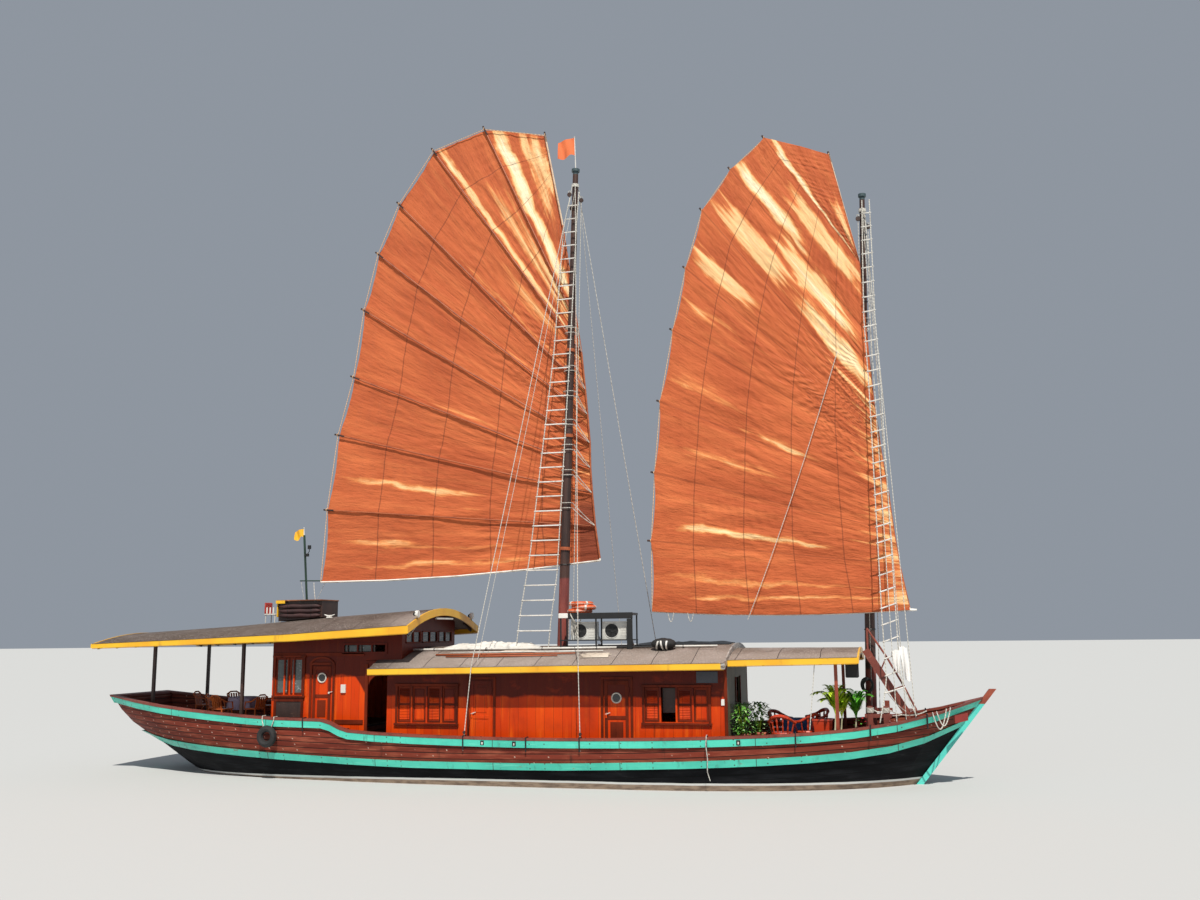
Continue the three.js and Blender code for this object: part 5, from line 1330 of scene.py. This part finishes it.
def chair(mesh, x, y, floor, turn):
    """A moulded chair: splayed legs, a dished seat, arms and a slatted back."""
    at, seat, top = placer(x, y, floor, turn), 0.42, 0.86
    for a, b in LEGS:
        mesh.tube([at(a * 1.15, b * 1.15, 0.004), at(a, b, seat)], [0.016, 0.024], 6)
    mesh.rings([[at(a * k, b * k, h) for a, b in ((-0.23, -0.22), (0.23, -0.24), (0.23, 0.24), (-0.23, 0.22))]
        for k, h in ((0.94, seat - 0.02), (1.0, seat), (0.97, seat + 0.02))])
    for i in range(5):
        b = -0.18 + 0.09 * i
        mesh.rings([[at(-0.21 - lean, b - 0.028, h), at(-0.19 - lean, b - 0.028, h), at(-0.19 - lean, b + 0.028, h),
            at(-0.21 - lean, b + 0.028, h)] for lean, h in ((0.0, seat + 0.01), (0.05, 0.66), (0.09, top - 0.05))])
    mesh.tube([at(-0.30, -0.24, top - 0.08), at(-0.31, -0.1, top), at(-0.31, 0.1, top), at(-0.30, 0.24, top - 0.08)],
        0.026, 7)
    for b in (-0.25, 0.25):
        mesh.tube([at(-0.28, b, top - 0.1), at(-0.1, b * 1.1, 0.66), at(0.16, b * 1.1, 0.64), at(0.22, b, seat)],
            [0.02, 0.026, 0.026, 0.02], 7)


def table(name, x, y, floor, radius, height, paint):
    """A round table under a cloth that falls in folds."""
    leg = Mesh()
    leg.tube([(x, y, floor + 0.004), (x, y, floor + 0.05), (x, y, floor + height - 0.02)], [0.2, 0.05, 0.05], 12)
    leg.disc((x, y, floor + height - 0.03), radius * 0.97, 0.024, "z", 28)
    leg.make(f"{name}_stand", DARK, slot="dark_wood")
    cloth, n = Mesh(), 60
    rings = [(0.05, 0.0, 0.0), (0.5, 0.0, 0.0), (0.9, 0.0, 0.0), (1.0, -0.012, 0.01), (1.03, -0.10, 0.02),
        (1.05, -0.24, 0.04), (1.07, -0.40, 0.06)]
    points = []
    for share, drop, fold in rings:
        for k in range(n):
            a = TAU * k / n
            r = radius * share + fold * sin(a * 9 + 1.3) + 0.4 * fold * sin(a * 17)
            points.append((x + r * cos(a), y + r * sin(a), floor + height + 0.004 + drop))
    cloth.add(points, [(i * n + k, i * n + (k + 1) % n, (i + 1) * n + (k + 1) % n, (i + 1) * n + k)
        for i in range(len(rings) - 1) for k in range(n)])
    piece = cloth.make(f"{name}_cloth", paint, smooth=True, slot="rope")


def leaf(mesh, root, direction, length, width, droop, bends=6):
    side = direction.cross(vec(0, 0, 1)).normalized()
    left, right, middle = [], [], []
    for i in range(bends + 1):
        t = i / bends
        p = root + direction * (length * t) - vec(0, 0, droop * t * t)
        w = width * sin(pi * min(1.0, 0.08 + 0.92 * t)) ** 0.8 if t < 1 else 0.002
        left.append(p + side * w)
        right.append(p - side * w)
        middle.append(p + vec(0, 0, -0.18 * w))
    n = bends + 1
    mesh.add(left + middle + right, [(i, i + 1, n + i + 1, n + i) for i in range(bends)]
        + [(n + i, n + i + 1, 2 * n + i + 1, 2 * n + i) for i in range(bends)])


def pot(mesh, x, y, floor, radius, height):
    levels = ((0.004, 0.72), (0.03, 0.76), (height * 0.5, 0.95), (height * 0.82, 1.0), (height * 0.84, 1.1),
        (height, 1.12), (height, 0.98), (height * 0.86, 0.94))
    mesh.rings([[(x + radius * k * cos(TAU * i / 20), y + radius * k * sin(TAU * i / 20), floor + h)
        for i in range(20)] for h, k in levels])


def plants():
    green = Paint("leaf_green", rough=0.35, sheen=0.1, coat=0.2)
    x, y, z = green.axes()
    tone = green.spotted((0.035, 0.14, 0.015), (0.13, 0.36, 0.04), 0.35, 0.65, 9, 3)
    # The pale spots on the leaves are painted highlights
    green.color(green.spotted(tone, (0.50, 0.66, 0.34), 0.56, 0.66, 15, 3, move=(3, 1, 2)))
    palm = Paint("palm_green", rough=0.4)
    x, y, z = palm.axes()
    tone = palm.spotted((0.40, 0.66, 0.02), (0.56, 0.74, 0.05), 0.40, 0.60, 3, 4)
    palm.color(palm.mix(palm.ramp(x, 9.75, 9.95), tone, (0.10, 0.40, 0.03)))
    clay = worn_paint("clay_pot", (0.52, 0.16, 0.09), (0.34, 0.08, 0.04), (0.66, 0.42, 0.32), 0.55)
    stems, trunks, pots, shrub, fronds, red = Mesh(), Mesh(), Mesh(), Mesh(), Mesh(), Mesh()
    for cx, cy, wide, top, count in ((6.86, -1.32, 0.40, 2.28, 520), (7.28, -0.95, 0.36, 2.30, 340)):
        floor = row(MAIN_DECK, cx)
        pot(pots, cx + 0.04, cy, floor + 0.004, 0.21, 0.44)
        low = floor + 0.38
        for _ in range(count):
            up, turn, out = random.random(), random.random() * TAU, random.random() ** 0.4
            r = wide * sin(pi * (0.14 + 0.74 * up)) ** 0.7 * out
            p = vec(cx + r * cos(turn), cy + r * 0.9 * sin(turn), low + (top - low) * up)
            d = vec(cos(turn) * 0.8, sin(turn) * 0.8, random.uniform(-0.5, 0.7)).normalized()
            leaf(shrub, p, d, random.uniform(0.08, 0.14), 0.034, 0.03, 3)
        for k in range(8):
            a = k * 0.9
            stems.tube([(cx, cy, floor + 0.36), (cx + 0.1 * cos(a), cy + 0.1 * sin(a), floor + 0.8),
                (cx + 0.24 * cos(a), cy + 0.24 * sin(a), floor + 1.2)], [0.013, 0.009, 0.004], 5)
    # Palms: pale trunks, and fronds that arch over with leaflets on both sides
    for cx, cy, top, tall, count in ((9.44, -1.38, 1.98, 0.92, 12), (9.60, -1.22, 1.90, 0.76, 10),
            (9.98, -1.05, 1.86, 0.86, 12)):
        base = row(MAIN_DECK, cx)
        pot(pots, cx, cy, base + 0.004, 0.17, 0.34)
        root = vec(cx + 0.03, cy, top)
        trunks.tube([(cx - 0.02, cy, base + 0.30), (cx, cy, 1.6), tuple(root)], [0.030, 0.024, 0.018], 8)
        for k in range(count):
            turn = k * 2.4 + cx
            lean = 0.22 + 0.34 * (k % 3) / 2
            bend = []
            for i in range(10):
                t = i / 9
                out = lean * t ** 1.15
                bend.append(root + vec(out * cos(turn), out * sin(turn) * 0.8,
                    tall * (1.55 * t - (0.58 + 0.55 * lean) * t * t)))
            stems.tube(bend, [0.011 - 0.0009 * i for i in range(10)], 5)
            for i in range(2, 10):
                spine = (bend[i] - bend[i - 1]).normalized()
                out = spine.cross(vec(0, 0, 1)).normalized()
                for q in range(3):
                    p = bend[i - 1].lerp(bend[i], 0.15 + 0.33 * q)
                    for s in (-1, 1):
                        leaf(fronds, p, (spine * 0.9 + out * s * 0.8 + vec(0, 0, 0.1)).normalized(),
                            0.32 - 0.012 * i, 0.017, 0.09, 4)
    # Low red flowers and yellow leaves beside the palms
    for k in range(26):
        a = k * 2.4
        p = vec(10.18 + 0.17 * cos(a), -1.10 + 0.16 * sin(a), 1.62 + 0.012 * k)
        leaf(red if k % 2 else fronds, p, vec(cos(a), sin(a), 0.5).normalized(), 0.11, 0.030, 0.03, 3)
    pot(pots, 10.18, -1.10, row(MAIN_DECK, 10.1) + 0.004, 0.15, 0.42)
    shrub.make("shrub_leaves", green.m, slot="green_paint")
    fronds.make("palm_leaves", palm.m, slot="green_paint")
    stems.make("plant_stems", palm.m, slot="green_paint")
    red.make("red_flowers", worn_paint("petal_red", (0.70, 0.03, 0.04), (0.45, 0.02, 0.03), (0.8, 0.3, 0.1), 0.5,
        0.8), slot="buoy_shell")
    trunks.make("palm_trunks", worn_paint("palm_trunk", (0.62, 0.60, 0.42), (0.42, 0.42, 0.24), (0.3, 0.26, 0.14),
        0.6, 0.6), slot="green_paint")
    pots.make("plant_pots", clay, slot="buoy_shell", smooth=True)


def carved_chair(mesh, x, y, floor, turn):
    """A heavy round-backed chair: one curved rail for back and arms, on splats and turned legs."""
    at = placer(x, y, floor, turn)

    def rail_at(k):
        a = radians(k)
        return at(-0.33 * cos(a) + 0.02, 0.37 * sin(a), 0.70 + 0.20 * max(0.0, cos(a)) ** 1.5)

    mesh.tube([rail_at(k) for k in range(-125, 126, 10)], [0.030] + [0.038] * 8 + [0.052] * 8 + [0.038] * 8
        + [0.030], 9)
    for k in (-118, -72, -40, -14, 14, 40, 72, 118):
        top, wide = rail_at(k), 0.030 if abs(k) < 50 else 0.020
        low = vec(x + (top.x - x) * 0.80, y + (top.y - y) * 0.80, floor + 0.44)
        mesh.tube([low, low.lerp(top, 0.3), low.lerp(top, 0.5), low.lerp(top, 0.7), top],
            [0.016, wide, 0.016, wide, 0.018], 7)
    mesh.rings([[at(0.29 * k * cos(q), 0.30 * k * sin(q), h) for q in (TAU * i / 20 for i in range(20))]
        for k, h in ((0.90, 0.36), (1.0, 0.38), (1.03, 0.42), (0.98, 0.45))])
    for a, b in LEGS:
        mesh.tube([at(a * 1.1, b * 1.1, 0.004), at(a * 1.08, b * 1.08, 0.10), at(a, b, 0.20), at(a, b, 0.38)],
            [0.030, 0.020, 0.034, 0.026], 8)


def furniture():
    stern, red = Mesh(), Mesh()
    for x, y, turn in ((-10.5, -0.75, 0.4), (-9.95, -1.25, 1.3), (-9.1, -0.7, 2.9), (-9.4, 0.7, 3.6),
            (-10.6, 0.6, -0.5), (-11.6, 0.2, 0.1)):
        chair(stern, x, y, row(POOP_DECK, x), turn)
    stern.make("stern_chairs", ORANGE, slot="buoy_shell")
    lilac = worn_paint("lilac_cloth", (0.56, 0.48, 0.62), (0.42, 0.36, 0.50), (0.7, 0.66, 0.7), 0.85, 0.8)
    table("stern_table", -9.95, -0.05, row(POOP_DECK, -9.95), 0.48, 0.74, lilac)
    for x, y, turn in ((7.98, -1.32, 1.45), (8.62, -0.95, 2.6), (7.75, 0.45, -0.6), (8.8, 0.65, 3.7)):
        carved_chair(red, x, y, row(MAIN_DECK, x), turn)
    # A low trough with sloping sides, by the palms
    floor = row(MAIN_DECK, 9.1)
    red.rings([[(9.10 + a * k, -1.15 + b * k, floor + h) for a, b in ((-0.27, -0.22), (0.27, -0.22), (0.27, 0.22),
        (-0.27, 0.22))] for k, h in ((0.62, 0.006), (0.66, 0.03), (0.98, 0.70), (1.04, 0.72), (1.04, 0.77),
        (0.90, 0.77), (0.84, 0.60))])
    red.make("foredeck_chairs", worn_paint("carved_red", (0.62, 0.060, 0.018), (0.40, 0.035, 0.012),
        (0.75, 0.28, 0.14), 0.3, 0.66, 0.3), slot="varnish")
    blue = worn_paint("blue_cloth", (0.05, 0.14, 0.36), (0.03, 0.09, 0.24), (0.3, 0.4, 0.55), 0.85, 0.8)
    table("fore_table", 8.32, -0.15, row(MAIN_DECK, 8.32), 0.42, 0.72, blue)


def bow_gear():
    box, rope, black = Mesh(), Mesh(), Mesh()
    # The black box and winch by the foremast
    black.box((9.76, 10.12), (-0.92, -0.56), (2.96, 3.38), 0.02)
    black.disc((9.94, -0.932, 3.17), 0.15, 0.014, "y", 26)
    for x in (9.84, 10.04):
        black.tube([(x, -0.74, 3.37), (x, -0.74, roof_z(FORE_ROOF, x, -0.74) - 0.055)], 0.014, 6)
    for k in range(6):
        black.ring((10.30 + 0.012 * k, -0.235 - 0.012 * (k % 3), 2.74 - 0.006 * k), 0.155 - 0.010 * (k % 3),
            0.017, "y", 22, 6, 1.25)
    black.tube([(10.30, -0.15, 2.93), (10.30, -0.30, 2.95)], 0.022, 7)
    floor = row(MAIN_DECK, 10.8)
    box.box((10.62, 11.05), (0.35, 0.80), (floor + 0.03, floor + 0.40), 0.02)
    box.disc((10.72, 0.34, floor + 0.36), 0.13, 0.10, "y", 18)
    box.tube([(10.84, 0.30, floor + 0.36), (10.84, 0.88, floor + 0.36)], 0.09, 14)
    box.make("bow_winch", TRIM, slot="trim_paint")
    black.make("bow_black_box", BLACK, slot="black_rubber")
    # Rope coils on the deck and lines from the posts
    for k in range(4):
        rope.ring((11.15, 0.25, floor + 0.10 + 0.035 * k), 0.22 - 0.012 * k, 0.02, "z", 24, 6)
    rope.rope((10.40, -1.26, 2.16), (11.25, -1.22, 1.98), 0.016, 0.10, 10)
    rope.rope((10.82, -1.26, 2.16), (11.9, -1.10, 2.08), 0.016, 0.16, 10)
    for k in range(4):
        rope.ring((10.40, -1.26, 2.05 + 0.034 * k), 0.088, 0.017, "z", 18, 6)
        rope.ring((10.82, -1.26, 2.05 + 0.034 * k), 0.088, 0.017, "z", 18, 6)
    rope.rope((9.0, -2.05, 3.42), (8.82, -2.28, 1.63), 0.012, 0.03, 8)
    rope.rope((10.86, -1.2, 2.6), (11.35, -0.98, 2.05), 0.012, 0.05, 8)
    rope.make("bow_ropes", ROPE, slot="rope")
    # Two white cloths tied to the fore ladder, blown a little forward
    white = worn_paint("white_cloth", (0.82, 0.81, 0.79), (0.68, 0.66, 0.64), (0.52, 0.48, 0.42), 0.85, 0.8)
    for tag, top, fly, drop, narrow, phase in (("a", 3.70, 0.27, 0.62, 0.75, 0.3),
            ("b", 3.84, 0.20, 0.92, 0.15, 1.9)):
        cloth, n, m = Mesh(), 18, 18
        points = []
        start, ahead, rise = (0.0, -0.22, 0.04) if tag == "a" else (0.10, 0.02, -0.04)
        for i in range(m + 1):
            for j in range(n + 1):
                s, t = j / n, i / m
                held = at_height(FORE_LADDER[1], top - drop * t * 0.25)
                x = held.x + ahead + start * t + fly * s * (1 - narrow * t) + 0.22 * t * narrow
                points.append((x, held.y - 0.035 - 0.035 * sin(s * 8 + phase + t * 4) * (0.3 + t) - 0.05 * t,
                    top + rise * s - drop * t - 0.02 * sin(s * 9 + t * 3)))
        cloth.add(points, grid_faces(n, m))
        piece = cloth.make(f"ladder_cloth_{tag}", white, smooth=True, slot="rope")


def shrouds():
    """Thinner lines beside the main stays, and the tackle at their feet."""
    thin, tackle = Mesh(), Mesh()
    for a, b, sag in (((1.70, -0.1, 18.7), (-0.60, -2.74, 3.46), 0.1), ((10.94, -0.1, 16.8), rail(11.35), 0.1),
            ((1.78, 0.1, 18.8), (2.4, 2.72, 3.5), 0.1)):
        thin.rope(a, b, 0.008, sag, 18, 4)
    for x in (-0.90, 2.56, 11.1, 11.6):
        p = rail(x, -1, -0.03)
        tackle.disc(p + vec(0, -0.02, 0.10), 0.045, 0.05, "y", 12)
        tackle.ring(p + vec(0, 0, 0.03), 0.03, 0.008, "y", 12, 5)
    thin.make("thin_lines", ROPE, slot="rope")
    tackle.make("stay_tackle", DARK, slot="dark_wood")
    line = Mesh()
    line.rope((9.94, -0.56, 12.5), (7.02, -0.60, 4.62), 0.011, 0.25, 24, 5)
    for x in (4.6, 5.2):
        line.rope((x, -0.43, 4.86), (x + 0.18, -0.43, 4.86), 0.012, 0.28, 10, 5)
    line.make("fore_sail_lines", ROPE, "fore_sail_rig", slot="rope")


camera_and_light()
paint_solids()
sail("main_sail", MAIN_BATTENS, MAIN_SAIL_Y, 0.15, 1, 3.7, MAIN_FADED, (0.21, 0.42, 0.63, 0.82),
    (1.66, 13.8, 4.2, 46, 0.35), (1.52, 9.0))
sail("fore_sail", FORE_BATTENS, FORE_SAIL_Y, 0.12, -1, 11.2, FORE_FADED, (0.19, 0.40, 0.60, 0.80),
    (10.95, 11.9, 4.6, 44, 0.80))
batten_trim("main_sail", MAIN_BATTENS, MAIN_TRIM_Y)
batten_trim("fore_sail", FORE_BATTENS, FORE_TRIM_Y)
ladder("main_ladder", MAIN_LADDER)
ladder("fore_ladder", FORE_LADDER)
flag("main_flag", (1.69, 0.0, 19.45), (1.66, 0.0, 20.65), -0.58,
    worn_paint("flag_cloth", (0.80, 0.19, 0.06), (0.62, 0.12, 0.04), (0.9, 0.5, 0.3), 0.8, 0.7), 0.62)
flag("stern_pennant", (-8.23, 0.52, 7.60), (-8.25, 0.52, 7.95), -0.34, YELLOW, 0.30)
mast_fittings()
lacing()
hull_trim()
rail_bolts()
windows()
doors()
house_trim()
front_windows()
edge_boards()
roof_gear()
cloth_heap("roof_cloth_a", (-0.9, -0.75), (1.55, 0.24), 0.20, WHITE, 2.0)
cloth_heap("roof_cloth_b", (2.75, -1.95), (0.42, 0.20), 0.05, CREAM, 6.0)
cloth_heap("roof_cloth_c", (0.2, -1.45), (0.55, 0.10), 0.05, CREAM, 8.0)
cloth_heap("roof_sheet", (5.05, 0.10), (1.42, 0.80), 0.085, BLACK, 4.0)
cooling_units()
buoy_bands()
aft_roof_gear()
plants()
furniture()
bow_gear()
shrouds()
